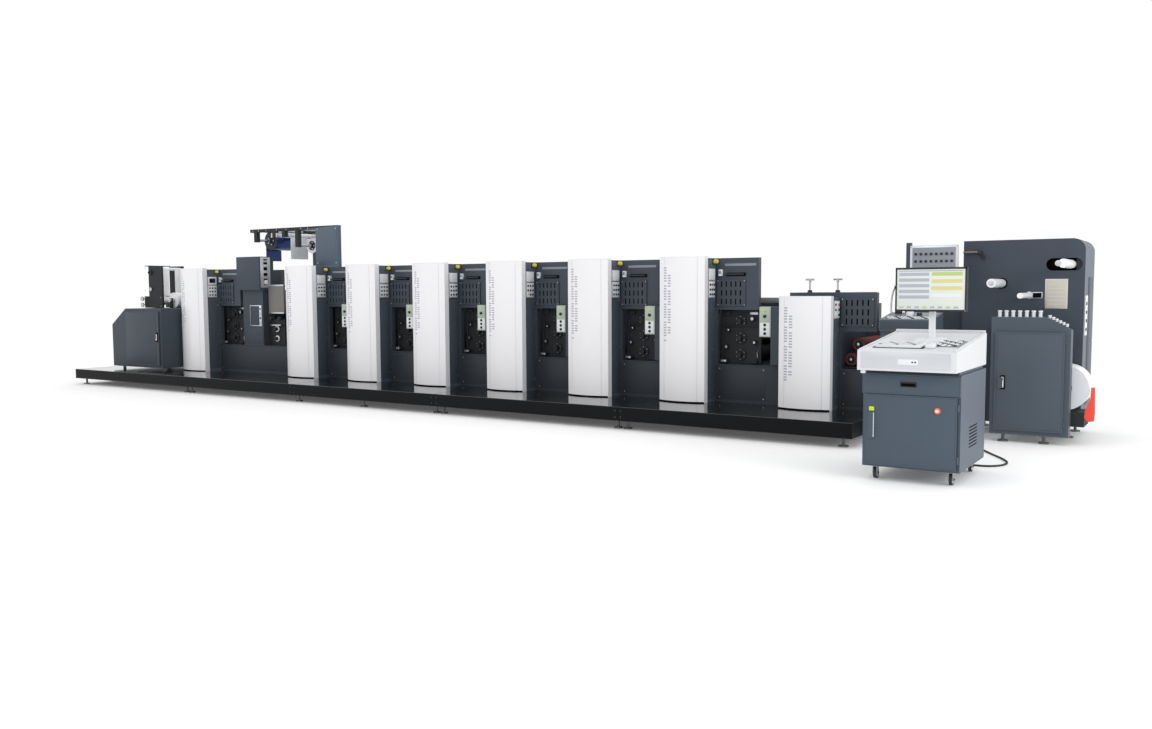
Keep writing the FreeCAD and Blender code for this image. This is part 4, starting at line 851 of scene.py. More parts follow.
@dataclass
class OpenUnit:
    """What shows through the gap of each unit: guards, bearings and small gear."""

    gap_from: float = 530.0
    gap_to: float = 975.0
    cylinders: tuple[float, ...] = (722.0, 896.0, 1070.0)
    cylinder_at: float = 750.0

    def build(self) -> None:
        """Dress the unit's frames and cylinders and add its fittings."""
        dress_each(operator_frames=UNWINDER_GREY, drive_frames=CHARCOAL, bearing_plates=IRON,
                   ink_housings=IRON, ink_rollers=INK_RUBBER, slotted_guards=CHARCOAL,
                   guard_handles=BLACK_PLASTIC, control_boxes=BOX_GREEN, box_brackets=CHARCOAL)
        dress("press_cylinders", CHROME, INK_RUBBER, IRON,
              choose=self.cylinder_part)
        caps = Maker("bearing_caps", IRON, STEEL, SHADOW)
        gear = Maker("unit_gear", IRON, STEEL, BLACK_PLASTIC, SATIN)
        guards = Maker("guard_fittings", SHADOW, STEEL, PALE_PLASTIC, PANEL_GREY)
        boxes = Maker("box_faces", PALE_PLASTIC, BLACK_PLASTIC, LIME, STOP_RED, BOX_GREEN)
        for index, start in enumerate(UNIT_STARTS):
            self.bearings(caps, start)
            self.small_gear(gear, start, index)
            self.guard(guards, start, 1230.0, 1555.0)
        self.guard(guards, INFEED_START, 1040.0, 0.0)
        for start in UNIT_STARTS[2:] + (INFEED_START,):
            self.control_box(boxes, start - 285)
        caps.done()
        gear.done()
        guards.done()
        boxes.done()

    @staticmethod
    def cylinder_part(middle: Vector, out: Vector) -> int:
        """Tell journals, the chromed cylinders and the rubbered ones apart.

        Args:
            middle: Middle of a face.
            out: Which way it looks; not used.

        Returns:
            The place of its finish in the list.
        """
        if middle.y < 1150:
            return 2
        return 0 if 880 < middle.z < 990 else 1

    def bearings(self, caps: Maker, start: float) -> None:
        """Add the bolted bearing caps of one unit's cylinders.

        Args:
            caps: Piece that collects them.
            start: Left edge of the unit.
        """
        for z in self.cylinders:
            x = start + self.cylinder_at
            caps.turned((x, BEARING_FACE, z), Axis.Y, [(-2, 40), (-12, 62), (-18, 62), (-18.5, 60),
                                               (-18.5, 30), (-22, 30), (-22, 28)], 32)
            caps.turned((x, 1090, z), Axis.Y, [(1, 15), (-4, 15), (-5, 11)], 20, 1)
            for k in range(6):
                angle = math.pi * (k / 3 + 1 / 6)
                caps.screw((x + 50 * math.cos(angle), 1093, z + 50 * math.sin(angle)),
                           Axis.Y, -5, 5, 1)

    def small_gear(self, gear: Maker, start: float, index: int) -> None:
        """Add knobs, a tie rail, an oil pipe and a drip shelf to one unit.

        Args:
            gear: Piece that collects them.
            start: Left edge of the unit.
            index: Which unit, counted from the outfeed.
        """
        left, right = start + self.gap_from, start + self.gap_to
        gear.block((left + 2, 1084, 1016), (right, 1098, 1030), 2, 0)
        gear.block((left + 2, 1070, 622), (right, 1108, 632), 2, 0)
        for x, z, radius in ((left + 66, 800 + 18 * (index % 2), 24), (left + 92, 978, 18),
                             (right - 60, 850, 20), (right - 86, 1096, 26)):
            gear.turned((x, BEARING_FACE, z), Axis.Y, [(2, radius * 0.6), (-24, radius * 0.6),
                                               (-25, radius), (-44, radius), (-47, radius * 0.8)],
                        20, 2)
            gear.turned((x, 1066, z), Axis.Y, [(1, radius * 0.62), (-3, radius * 0.62),
                                               (-4, radius * 0.5)], 18, 1)
        gear.tube([(left + 30, 1100, 640), (left + 34, 1092, 720), (left + 26, 1094, 860),
                   (left + 40, 1096, 980), (left + 38, 1104, 1120)], 5, 2)
        gear.block((left + 10, 1040, 634), (left + 96, 1082, 672), 5, 0)
        gear.block((left + 22, 1034, 642), (left + 84, 1042, 664), 3, 3)
        gear.block((right - 88, 1046, 634), (right - 22, 1088, 660), 5, 0)
        gear.tube([(right - 30, 1096, 660), (right - 26, 1078, 700), (right - 34, 1090, 742),
                   (right - 30, 1108, 760)], 4, 1)
        gear.block((left + 20, 1088, 1128), (left + 110, 1109, 1176), 3, 0)
        gear.block((right - 120, 1092, 1138), (right - 30, 1109, 1168), 3, 1)

    def guard(self, guards: Maker, start: float, bottom: float, handle: float) -> None:
        """Finish one slotted guard, its screws and the sensor by its handle.

        Args:
            guards: Piece that collects them.
            start: Left edge of the unit.
            bottom: Lower edge of the guard.
            handle: Height of the handle, 0 for none.
        """
        left = start + self.gap_from
        guards.block((left + 14, 986.5, bottom + 12), (left + 303, 1001, bottom + 258), 0)
        for x in (left + 10, left + 307):
            for z in (bottom + 10, bottom + 260):
                guards.screw((x, 985, z), Axis.Y, -4, 6, 1)
        if handle:
            guards.block((left + 26, 962, handle - 16), (left + 62, 1001, handle + 52), 4, 2)
            guards.block((left + 32, 958, handle + 6), (left + 56, 964, handle + 40), 2, 3)
            guards.block((left + 97, 997, handle - 18), (left + 317, 1001, handle + 18), 2, 0)
            guards.block((left + 80, 996, handle + 86), (left + 430, 1001, handle + 112), 2, 3)

    def control_box(self, boxes: Maker, left: float) -> None:
        """Finish the front of one control box.

        Args:
            boxes: Piece that collects them.
            left: Left edge of the box.
        """
        boxes.block((left + 8, 901, 1076), (left + 112, 906, 1216), 2, 4)
        boxes.block((left + 8, 900, 930), (left + 112, 906, 1064), 2)
        for k in range(3):
            z = 1042 - 44 * k
            boxes.turned((left + 60, 901, z), Axis.Y, [(0, 15), (-4, 15), (-5, 12), (-11, 12),
                                                       (-12, 9)], 20, 1)
        boxes.turned((left + 60, 902, 1186), Axis.Y, [(0, 12), (-5, 12), (-9, 8)], 18, 2)
        boxes.turned((left + 60, 902, 1128), Axis.Y, [(0, 17), (-5, 17), (-6, 14), (-18, 14),
                                                      (-20, 10)], 20, 1)


@dataclass
class Bed:
    """The low bed under the units and the gear housing behind them."""

    first: float = 1665.0
    last: float = 12000.0
    drive_last: float = 11685.0
    front: float = 1000.0
    top: float = 620.0
    back: float = 2000.0
    housing_top: float = 1250.0

    def build(self) -> None:
        """Dress the bed and add its ledge, seams, doors and louvres."""
        dress_each(bed_housing=BED_GREY, drive_housing=CHARCOAL)
        front = Maker("bed_front", STEEL, SHADOW, BED_GREY, ZINC)
        front.block((self.first, self.front - 3, self.top - 7), (self.last, self.front + 4,
                                                                 self.top + 2), 1.5, 2)
        for start in (*UNIT_STARTS, INFEED_START):
            left = start + 560
            width = 420 if start > 3000 else 1560
            right = min(left + width + 90, self.last - 30)
            front.block((left - 20, self.front - 2, DECK + 24), (right, self.front + 2,
                                                                 self.top - 26), 1.2, 2)
            for x in (left, right - 20):
                front.screw((x, self.front - 2, self.top - 46), Axis.Y, -4, 7, 3)
                front.screw((x, self.front - 2, DECK + 44), Axis.Y, -4, 7, 3)
        front.done()
        back = Maker("drive_doors", CHARCOAL, IRON, ZINC, SHADOW)
        step = (self.drive_last - self.first) / 9
        for bay in range(9):
            left = self.first + bay * step
            back.block((left + 14, self.back - 2, DECK + 26), (left + step - 14, self.back + 5,
                                                               self.housing_top - 26), 2.5)
            for k in range(9):
                z = 900 + 26 * k
                back.louvre(self.back + 3, z, (14, 15), (left + 180, left + step - 180), 0.8, 1)
            for z in (DECK + 160, self.housing_top - 150):
                back.turned((left + 70, self.back + 4, z), Axis.Y, [(0, 15), (5, 15), (7, 11)],
                            20, 2)
                back.block((left + 68, self.back + 10, z - 10),
                           (left + 72, self.back + 13, z + 10), 0, 3)
        back.done()
        duct = Maker("cable_duct", SATIN, IRON)
        duct.block((self.first + 40, 1840, self.housing_top - 2), (self.drive_last - 40, 1920,
                                                                  self.housing_top + 58), 4)
        for start in UNIT_STARTS:
            duct.block((start + 400, 1828, self.housing_top + 8), (start + 470, 1850, 1500), 3, 1)
        duct.done()


@dataclass
class Infeed:
    """The low infeed unit with its two tension spindles."""

    start: float = INFEED_START
    top: float = 1366.0
    spindles: tuple[float, ...] = (134.0, 421.0)
    rollers: tuple[Pair, ...] = ((600.0, 710.0), (745.0, 710.0), (672.0, 860.0))

    def build(self) -> None:
        """Dress the infeed and add collars, roller ends and a rim."""
        dress_each(infeed_housing=UNWINDER_GREY, infeed_spindles=STEEL,
                   infeed_rollers=RED_RUBBER)
        fittings = Maker("infeed_fittings", BLACK_PLASTIC, STEEL, IRON, RED_RUBBER)
        for x in self.spindles:
            fittings.turned((self.start + x, 1200, self.top), Axis.Z,
                            [(-1, 26), (6, 26), (8, 22), (22, 22), (24, 18)], 24)
            fittings.turned((self.start + x, 1200, self.top), Axis.Z,
                            [(100, 10), (101, 14), (118, 14), (119, 9)], 6, 1)
        for x, z in self.rollers:
            fittings.turned((self.start + x, BEARING_FACE, z), Axis.Y,
                            [(2, 40), (-6, 40), (-7, 36), (-7, 22), (-30, 22), (-31, 19)], 28, 2)
            fittings.turned((self.start + x, 1080, z), Axis.Y,
                            [(1, 14), (-4, 14), (-5, 11)], 20, 1)
        fittings.block((self.start + 540, 1040, 624), (self.start + 850, 1096, 640), 4, 2)
        fittings.block((self.start + 880, 1064, 760), (self.start + 884, 1764, 780), 1, 1)
        fittings.done()


@dataclass
class Station:
    """The finishing station: column, head, keyed side plate and ribbed screen."""

    head: tuple[Point, Point] = ((2660.0, 930.0, 1420.0), (3160.0, 1180.0, 1895.0))
    screen: tuple[Point, Point] = ((3160.0, 1080.0, 1085.0), (3480.0, 1110.0, 1490.0))

    def build(self) -> None:
        """Dress the station and add its plates."""
        dress_each(station_head=CHARCOAL, station_column=CHARCOAL, station_screen=SCREEN_BEIGE)
        low, high = self.head
        plates = Maker("station_plates", SATIN, SHADOW, PANEL_GREY, CHARCOAL, STEEL, PALE_PLASTIC)
        side = high[0]
        plates.block((side - 1, 946, 1452), (side + 4, 1118, 1886), 2)
        for z, half in ((1500, 20), (1562, 26), (1640, 30), (1722, 34), (1800, 24), (1850, 14)):
            plates.block((side + 2, 1000, z - half * 0.7), (side + 5, 1066, z + half * 0.7), 3, 1)
        for z in (1470, 1868):
            for y in (962, 1102):
                plates.screw((side + 4, y, z), Axis.X, 4, 6, 4)
        plates.block((low[0] + 8, 926, low[2] + 12), (side - 8, 932, high[2] - 12), 2, 3)
        plates.block((2850, 994, 900), (3100, 1002, 1200), 2)
        plates.block((2862, 991, 912), (3052, 996, 1188), 1, 3)
        for k in range(4):
            plates.turned((3076, 995, 950 + 66 * k), Axis.Y, [(0, 12), (-6, 12), (-8, 9)], 18,
                          1 if k % 2 else 4)
        plates.block((2712, 996, 640), (3118, 1002, 872), 1.5, 3)
        plates.block((3112, 1010, 1500), (3170, 1070, 1560), 4, 5)
        low, high = self.screen
        plates.block((low[0], low[1] - 4, high[2] - 16), (high[0], high[1] + 4, high[2] + 4), 2)
        plates.block((low[0], low[1] - 4, low[2] - 4), (high[0], high[1] + 4, low[2] + 14), 2)
        plates.done()
        rolls = Maker("station_roll_ends", PALE_PLASTIC, IRON, STEEL)
        for z in (860, 722):
            rolls.turned((3300, BEARING_FACE, z), Axis.Y,
                         [(2, 44), (-14, 44), (-16, 40), (-16, 20), (-40, 20), (-42, 16)], 28)
        rolls.block((3195, 1060, 905), (3420, 1096, 925), 3, 2)
        for x in (3210, 3390):
            rolls.turned((x, 1100, 1010), Axis.Y, [(6, 16), (-30, 16), (-31, 30), (-46, 30),
                                                   (-48, 26)], 22, 1)
        rolls.done()


@dataclass
class FoilTower:
    """The tower over the station with its two foil reels and the web they feed."""

    supply: Point = (3010.0, 0.0, 2132.0)
    takeup: Point = (3870.0, 0.0, 2040.0)
    supply_radius: float = 136.0
    takeup_radius: float = 107.0
    rail_z: float = 2262.0
    shaft_reach: float = 24.0
    side_slope: float = 0.7

    def build(self) -> None:
        """Dress the tower and add hubs, flanges, bolts and a stiff rail."""
        dress("foil_tower", TOWER_BLUE, IRON, choose=lambda middle, out:
              0 if middle.x > 4240 or middle.z < 2200 and middle.y > 1600 else 1)
        wound = Finish("supply_side", paint_card(36, 42, 58), roughness=0.34, metallic=0.4,
                       texture=Texture.WOUND, centre=self.supply, drift=0.2, wear=0.0)
        spent = Finish("takeup_side", paint_card(208, 214, 226), roughness=0.36, metallic=0.3,
                       texture=Texture.WOUND, centre=self.takeup, drift=0.1, wear=0.0)
        dress("foil_supply_reel", wound, FOIL_BLUE, STEEL, choose=self.reel_part(self.supply))
        dress("foil_takeup_reel", spent, FOIL_SILVER, STEEL, choose=self.reel_part(self.takeup))
        dress("foil_web", FOIL_BLUE)
        for name, spot, radius in (("foil_supply_reel", self.supply, self.supply_radius),
                                   ("foil_takeup_reel", self.takeup, self.takeup_radius)):
            hub = Maker(name.replace("foil", "hub_of"), IRON, STEEL, SATIN)
            x, z = spot[0], spot[2]
            for y, out in ((1276, -1), (1604, 1)):
                hub.turned((x, y, z), Axis.Y, [(-2 * out, radius * 0.62), (5 * out, radius * 0.62),
                                               (6 * out, radius * 0.55), (6 * out, 30),
                                               (26 * out, 30), (28 * out, 26)], 36)
                for k in range(5):
                    angle = 2 * math.pi * k / 5
                    hub.screw((x + radius * 0.42 * math.cos(angle), y + 5 * out,
                               z + radius * 0.42 * math.sin(angle)), Axis.Y, 6 * out, 12, 1)
            hub.turned((x, 1262, z), Axis.Y, [(2, 22), (-24, 22), (-26, 18)], 6, 2)
            hub.done(name)
        rails = Maker("tower_rails", IRON, TOWER_BLUE, SATIN, STEEL)
        for x in (2940, 3300, 3700, 3885):
            rails.turned((x, 1058, self.rail_z), Axis.Y, [(0, 11), (584, 11)], 20, 3)
        for left, right, y, out in ((4270, 4660, 1000, -1), (3500, 3780, 1700, 1)):
            near, far = sorted((y, y + 3 * out))
            rails.block((left, near, 1760), (right, far, self.rail_z), 1, 1)
            for x in (left + 20, right - 20):
                for z in (1780, 2240):
                    rails.screw((x, y + 2 * out, z), Axis.Y, 5 * out, 9, 3)
        for x in (2960, 3080, 3240, 3460, 3660, 3960, 4100):
            rails.screw((x, 1001, self.rail_z), Axis.Y, -5, 8, 3)
        rails.block((3330, 1010, 2160), (3450, 1052, 2222), 4, 2)
        rails.done()

    def reel_part(self, spot: Point) -> Callable[[Vector, Vector], int]:
        """Tell the wound sides, the outside and the shaft of a reel apart.

        Args:
            spot: Middle of the reel.

        Returns:
            A chooser for dress().
        """
        def choose(middle: Vector, out: Vector) -> int:
            """Pick the finish of one face."""
            if math.hypot(middle.x - spot[0], middle.z - spot[2]) < self.shaft_reach:
                return 2
            return 0 if abs(out.y) > self.side_slope else 1
        return choose


@dataclass
class Rewinder:
    """The rewinder at the left end: cabinet, plates, lanes of labels and wheels."""

    door: tuple[Point, Point] = ((736.0, 377.0, 311.0), (1560.0, 395.0, 1111.0))

    def build(self) -> None:
        """Dress the rewinder and add its seams, wheels, lanes and vents."""
        dress_each(rewinder_cabinet=CHARCOAL, rewinder_door=CHARCOAL, rewinder_frame=IRON,
                   rewinder_handwheels=STEEL, label_web=WEB_WHITE)
        dress("web_rollers", ROLLER_WHITE, STEEL,
              choose=lambda middle, out: 1 if middle.x < 3000 and abs(out.y) > 0.7 else 0)
        low, high = self.door
        leaf = Maker("rewinder_leaf", CHARCOAL, PALE_PLASTIC, STEEL, SHADOW)
        leaf.block((low[0] + 20, 374, low[2] + 20), (high[0] - 60, 379, high[2] - 20), 1.5)
        leaf.block((1500, 366, 660), (1545, 378, 800), 3, 3)
        leaf.block((1512, 358, 684), (1534, 370, 776), 4, 1)
        leaf.done("rewinder_door")
        body = Maker("rewinder_trim", SHADOW, IRON, CHARCOAL, STEEL)
        for z in (440, 620):
            body.block((366, 470, z), (372, 1330, z + 3), 0)
        body.block((366, 470, 440), (372, 473, 1010 - 160), 0)
        for k in range(10):
            z = 520 + 30 * k
            body.louvre(1403, z, (11, 18), (700, 1250), 0.6, 1)
        body.block((640, 1398, 330), (1540, 1405, 1090), 2, 2)
        for x in (450, 840):
            for z in (1175, 1310, 1420, 1770):
                if x < 600 or z < 1330:
                    body.screw((x, 930, z), Axis.Y, -5, 8, 3)
        body.turned((610, 926, 1700), Axis.Y,
                    [(6, 40), (-18, 40), (-20, 34), (-20, 14), (-44, 14)], 28, 1)
        body.turned((610, 926, 1440), Axis.Y, [(6, 30), (-16, 30), (-18, 26)], 28, 3)
        body.done()
        tensioner = Maker("rewinder_tensioner", STEEL, IRON, WEB_WHITE, PALE_PLASTIC)
        tensioner.block((420, 952, 1798), (560, 1308, 1810), 2, 1)
        for y in (1000, 1180):
            tensioner.turned((640, y, 1180), Axis.Z, [(0, 9), (60, 9)], 14)
            tensioner.turned((640, y, 1240), Axis.Z, [(0, 16), (14, 16), (18, 10)], 18, 1)
        tensioner.turned((560, 958, 1236), Axis.Y, [(0, 46), (344, 46)], 36, 2)
        tensioner.turned((1050, 1010, 1268), Axis.Y, [(0, 118), (190, 118)], 48, 2)
        tensioner.turned((1050, 930, 1268), Axis.Y, [(0, 30), (400, 30)], 28, 0)
        tensioner.block((1020, 1230, 1148), (1080, 1260, 1300), 4, 1)
        tensioner.block((1020, 950, 1148), (1080, 980, 1300), 4, 1)
        tensioner.done()


@dataclass
class Unwinder:
    """The rounded unwinder, the cabinet in front of it and the paper reel."""

    front: float = 1620.0
    right: float = 13640.0
    back: float = 2330.0
    notice: tuple[Pair, Pair] = ((13309.0, 1207.0), (13502.0, 1484.0))
    reel: Point = (13540.0, 0.0, 507.0)

    def build(self) -> None:
        """Dress the unwinder and add its plates, rims, knobs and handle."""
        # Painted light: faces that look along +X take the lighter column blue.
        dress("unwinder_housing", UNWINDER_GREY, COLUMN_AND_LIT_SIDE_BLUE, SHADOW,
              choose=lambda middle, out: 2 if 1622 < middle.y < 1690 and middle.x < 13570
              and abs(middle.z - 1618) < 62 and middle.x > 13300
              else (1 if out.x > 0.6 else 0))
        dress_each(unwinder_cabinet=CABINET_GREY, unwinder_door=CABINET_GREY,
                   unwinder_knobs=PALE_PLASTIC, reel_bracket=IRON, reel_lever=LEVER_RED)
        side = Finish("reel_side", paint_card(226, 228, 232), roughness=0.5, drift=0.03,
                      texture=Texture.WOUND, centre=self.reel, wear=0.0)
        dress("paper_reel", side, WEB_WHITE,
              choose=lambda middle, out: 0 if abs(out.y) > 0.7 else 1)
        self.plates()
        self.cabinet()
        hub = Maker("reel_hub", BLACK_PLASTIC, STEEL, SATIN)
        x, z = self.reel[0], self.reel[2]
        hub.turned((x, 1284, z), Axis.Y, [(2, 62), (-4, 62), (-5, 58), (-5, 40), (-12, 38),
                                          (-13, 30)], 36)
        for k in range(3):
            angle = 2 * math.pi * k / 3
            hub.screw((x + 50 * math.cos(angle), 1280, z + 50 * math.sin(angle)), Axis.Y, -5, 7, 1)
        hub.done("paper_reel")

    def plates(self) -> None:
        """Add what is fixed to the faces of the housing."""
        plates = Maker("unwinder_plates", NOTICE, STEEL, PALE_PLASTIC, BRASS, BLACK_PLASTIC,
                       SHADOW, SATIN, CHARCOAL)
        (x0, z0), (x1, z1) = self.notice
        y = self.front
        plates.block((x0, y - 4, z0), (x1, y + 1, z1), 2, 6)
        plates.block((x0 + 7, y - 5.5, z0 + 7), (x1 - 7, y - 3, z1 - 7), 1)
        for k in range(6):
            z = z0 + 40 + 36 * k
            plates.block((x0 + 24, y - 6, z), (x1 - 24, y - 5, z + 8), 0, 6)
        plates.turned((12570, y - 46, 1745), Axis.X, [(14, 7), (15, 9), (176, 9), (177, 7)], 18, 3)
        plates.block((12716, y - 60, 1722), (12748, y + 1, 1760), 4, 4)
        plates.block((12594, y - 54, 1736), (12608, y + 1, 1754), 2, 4)
        plates.block((12752, y - 20, 1676), (12776, y + 1, 1720), 3, 4)
        plates.block((self.right - 1, 1690, 960), (self.right + 5, 1850, 1330), 2, 2)
        for k in range(4):
            z = 1000 + 80 * k
            plates.block((self.right + 4, 1730, z), (self.right + 6, 1810, z + 30), 1, 5)
        plates.block((self.right - 1, 1900, 300), (self.right + 4, 2220, 1500), 2, 7)
        for z in (360, 900, 1440):
            plates.turned((self.right + 3, 2196, z), Axis.X, [(0, 13), (5, 13), (7, 10)], 20, 1)
        for x, z in ((12930, 1447), (13480, 1618)):
            plates.turned((x, y + 1, z), Axis.Y, [(1, 52), (-6, 52), (-7, 48)], 36, 5)
            plates.turned((x, y - 499, z), Axis.Y, [(1, 26), (-3, 26), (-4, 22), (-4, 10),
                                                    (-9, 10), (-10, 7)], 28, 6)
        plates.turned((13175, y + 1, 1333), Axis.Y, [(1, 34), (-5, 34), (-6, 30)], 32, 6)
        plates.block((13200, y - 12, 1302), (13290, y + 1, 1364), 6, 6)
        plates.block((13208, y - 14, 1310), (13282, y - 10, 1356), 4, 5)
        for k in range(12):
            z = 600 + 34 * k
            plates.louvre(self.back - 1, z, (12, 20), (12840, 13380), 0.6, 7)
        plates.done()

    def cabinet(self) -> None:
        """Add the cabinet's door folds, its handle and the knob collars."""
        leaf = Maker("unwinder_leaf", CABINET_GREY, PALE_PLASTIC, SHADOW, STEEL)
        leaf.block((13000, 1112, 136), (13534, 1119, 984), 2)
        leaf.block((13032, 1104, 486), (13072, 1114, 614), 4, 2)
        leaf.block((13040, 1096, 500), (13064, 1110, 600), 4, 3)
        leaf.block((13046, 1093, 514), (13058, 1098, 566), 2, 1)
        leaf.done("unwinder_door")
        knobs = Maker("cabinet_knobs", PALE_PLASTIC, STEEL, SATIN)
        for k in range(7):
            x = 12940 + 57 * (k + 1)
            knobs.turned((x, 1203, 1139), Axis.Z, [(0, 22), (4, 22), (6, 18)], 20, 2)
            knobs.turned((x, 1203, 1160), Axis.Z, [(20, 12), (24, 12), (28, 19), (36, 19),
                                                   (40, 13)], 20)
        for k in range(6):
            x, z = 13420 + 28 * k, 1140 - 15 * k
            knobs.turned((x, 1180, z - 3), Axis.Z, [(-4, 12), (10, 12), (14, 15), (20, 15),
                                                    (23, 9)], 18)
        knobs.done()


@dataclass
class Console:
    """The console on casters: cupboard, drawer, worktop, keyboard and screen."""

    right: float = 13210.0
    back: float = -470.0
    worktop_left: float = 12512.0
    worktop_right: float = 13202.0
    worktop_front: float = -1420.0
    worktop_back: float = -430.0
    low_edge: float = 965.0
    high_edge: float = 1060.0

    def top(self, y: float) -> float:
        """Height of the sloped worktop at a given Y."""
        share = (y - self.worktop_front) / (self.worktop_back - self.worktop_front)
        return self.low_edge + share * (self.high_edge - self.low_edge)

    def slab(self, piece: Maker, x: Pair, y: Pair, rise: Pair, edge: float,
             finish: int = 0) -> None:
        """Lay a slab on the worktop.

        Args:
            piece: Piece that collects it.
            x: Its left and right ends.
            y: Its front and back edges.
            rise: Heights of its underside and top over the worktop.
            edge: Radius of its edges.
            finish: Which finish it takes.
        """
        corners = ((y[0], rise[0]), (y[1], rise[0]), (y[1], rise[1]), (y[0], rise[1]))
        piece.sheet([(at, self.top(at) + up) for at, up in corners], Axis.X, *x, edge, finish)

    def build(self) -> None:
        """Dress the console and add everything on it."""
        # Painted light: faces that look along +X take the lighter column blue.
        dress("console_body", CONSOLE_GREY, COLUMN_AND_LIT_SIDE_BLUE, BLACK_PLASTIC,
              choose=lambda middle, out: 1 if out.x > 0.6 else (2 if middle.y > -469 else 0))
        dress_each(console_door=CONSOLE_GREY, console_drawer=CONSOLE_GREY,
                   console_worktop=WORKTOP, monitor_stand=PALE_PLASTIC, monitor=BLACK_PLASTIC)
        self.leaf()
        self.desk_top()
        self.screen()
        self.casters()

    def leaf(self) -> None:
        """Add the door's pull and lamp, and the drawer's grip."""
        door = Maker("console_leaf", CONSOLE_GREY, PALE_PLASTIC, LIME, AMBER, SHADOW, STEEL)
        door.block((12546, -1317, 132), (13176, -1311, 628), 2)
        door.block((12573, -1331, 322), (12611, -1315, 508), 6, 1)
        door.block((12580, -1336, 350), (12604, -1329, 480), 5, 5)
        door.block((12573, -1324, 516), (12611, -1315, 548), 4, 2)
        door.turned((13057, -1314, 541), Axis.Y, [(0, 21), (-5, 21), (-7, 18), (-7, 16),
                                                  (-13, 15), (-17, 9)], 28, 3)
        door.block((13047, -1333, 532), (13067, -1329, 550), 2, 1)
        door.done("console_door")
        drawer = Maker("drawer_front", CONSOLE_GREY, BLACK_PLASTIC, SHADOW)
        drawer.block((12532, -1317, 656), (13198, -1311, 782), 2)
        drawer.block((12792, -1320, 700), (12912, -1315, 740), 5, 1)
        drawer.block((12802, -1321.5, 706), (12902, -1319, 728), 3, 2)
        drawer.done("console_drawer")
        vents = Maker("console_vents", SHADOW, STEEL, CONSOLE_GREY)
        for k in range(7):
            vents.block((self.right - 1, -1010, 250 + 24 * k), (self.right + 1.5, -750,
                                                                258 + 24 * k), 0.5)
        vents.block((12600, self.back - 1, 260), (13130, self.back + 4, 740), 2, 2)
        for k in range(9):
            vents.block((12680, self.back + 3, 560 + 16 * k), (13050, self.back + 5, 566 + 16 * k),
                        0.5)
        vents.done()

    def desk_top(self) -> None:
        """Add the worktop's rails, front plate, a black slab that paints the shade under the
        keyboard, the keyboard, keys and mouse.
        """
        desk = Maker("worktop_fittings", WORKTOP, BLACK_PLASTIC, PALE_PLASTIC, SATIN, SHADOW,
                     PANEL_GREY)
        left, right = self.worktop_left, self.worktop_right
        desk.block((left + 28, self.worktop_front - 3, 838), (right - 40, self.worktop_front + 1,
                                                              952), 2, 3)
        desk.block((left + 290, self.worktop_front - 5, 868), (left + 430,
                                                               self.worktop_front - 2, 908), 2, 2)
        for x in (left + 392, left + 412):
            desk.screw((x, self.worktop_front - 4, 888), Axis.Y, -4, 6, 4)
        desk.turned((left + 36, self.worktop_front + 30, 802), Axis.Z,
                    [(-6, 14), (-4, 19), (14, 19), (20, 12)], 20, 2)
        for x in (left + 8, right - 20):
            self.slab(desk, (x, x + 12), (-1410, -440), (-2, 9), 2)
        self.slab(desk, (left + 6, right - 6), (-452, -434), (-2, 22), 3)
        # Painted shade: a thin black slab, wider than the keyboard, stands for the shade under it.
        self.slab(desk, (left + 70, left + 430), (-1300, -1010), (-2, 3), 1, 1)
        self.slab(desk, (left + 90, left + 412), (-1290, -1040), (2, 14), 4, 2)
        self.slab(desk, (left + 100, left + 402), (-1280, -1140), (13, 22), 3, 2)
        for r in range(4):
            for c in range(12):
                y, x = -1272 + 31 * r, left + 108 + 24.4 * c
                kind = 5 if (r + c) % 5 == 0 else 0
                self.slab(desk, (x, x + 20), (y, y + 26), (21, 27), 1.5, kind)
        self.slab(desk, (left + 470, left + 650), (-1190, -900), (-2, 5), 1.5, 5)
        for r in range(7):
            for c in range(4):
                y, x = -1176 + 38 * r, left + 486 + 40 * c
                self.slab(desk, (x, x + 26), (y, y + 26), (4, 12), 2, 2 if (r + c) % 3 else 1)
        self.slab(desk, (left + 440, left + 505), (-1290, -1200), (-1, 30), 12, 2)
        desk.done()
        stand = Maker("stand_foot", SATIN, PALE_PLASTIC)
        self.slab(stand, (12800, 13014), (-1062, -838), (-1, 9), 4, 1)
        stand.tube([(12907, -880, self.top(-880) + 14), (12907, -872, 1100), (12907, -868, 1240),
                    (12907, -874, 1330)], 15, 1, 16)
        stand.done()

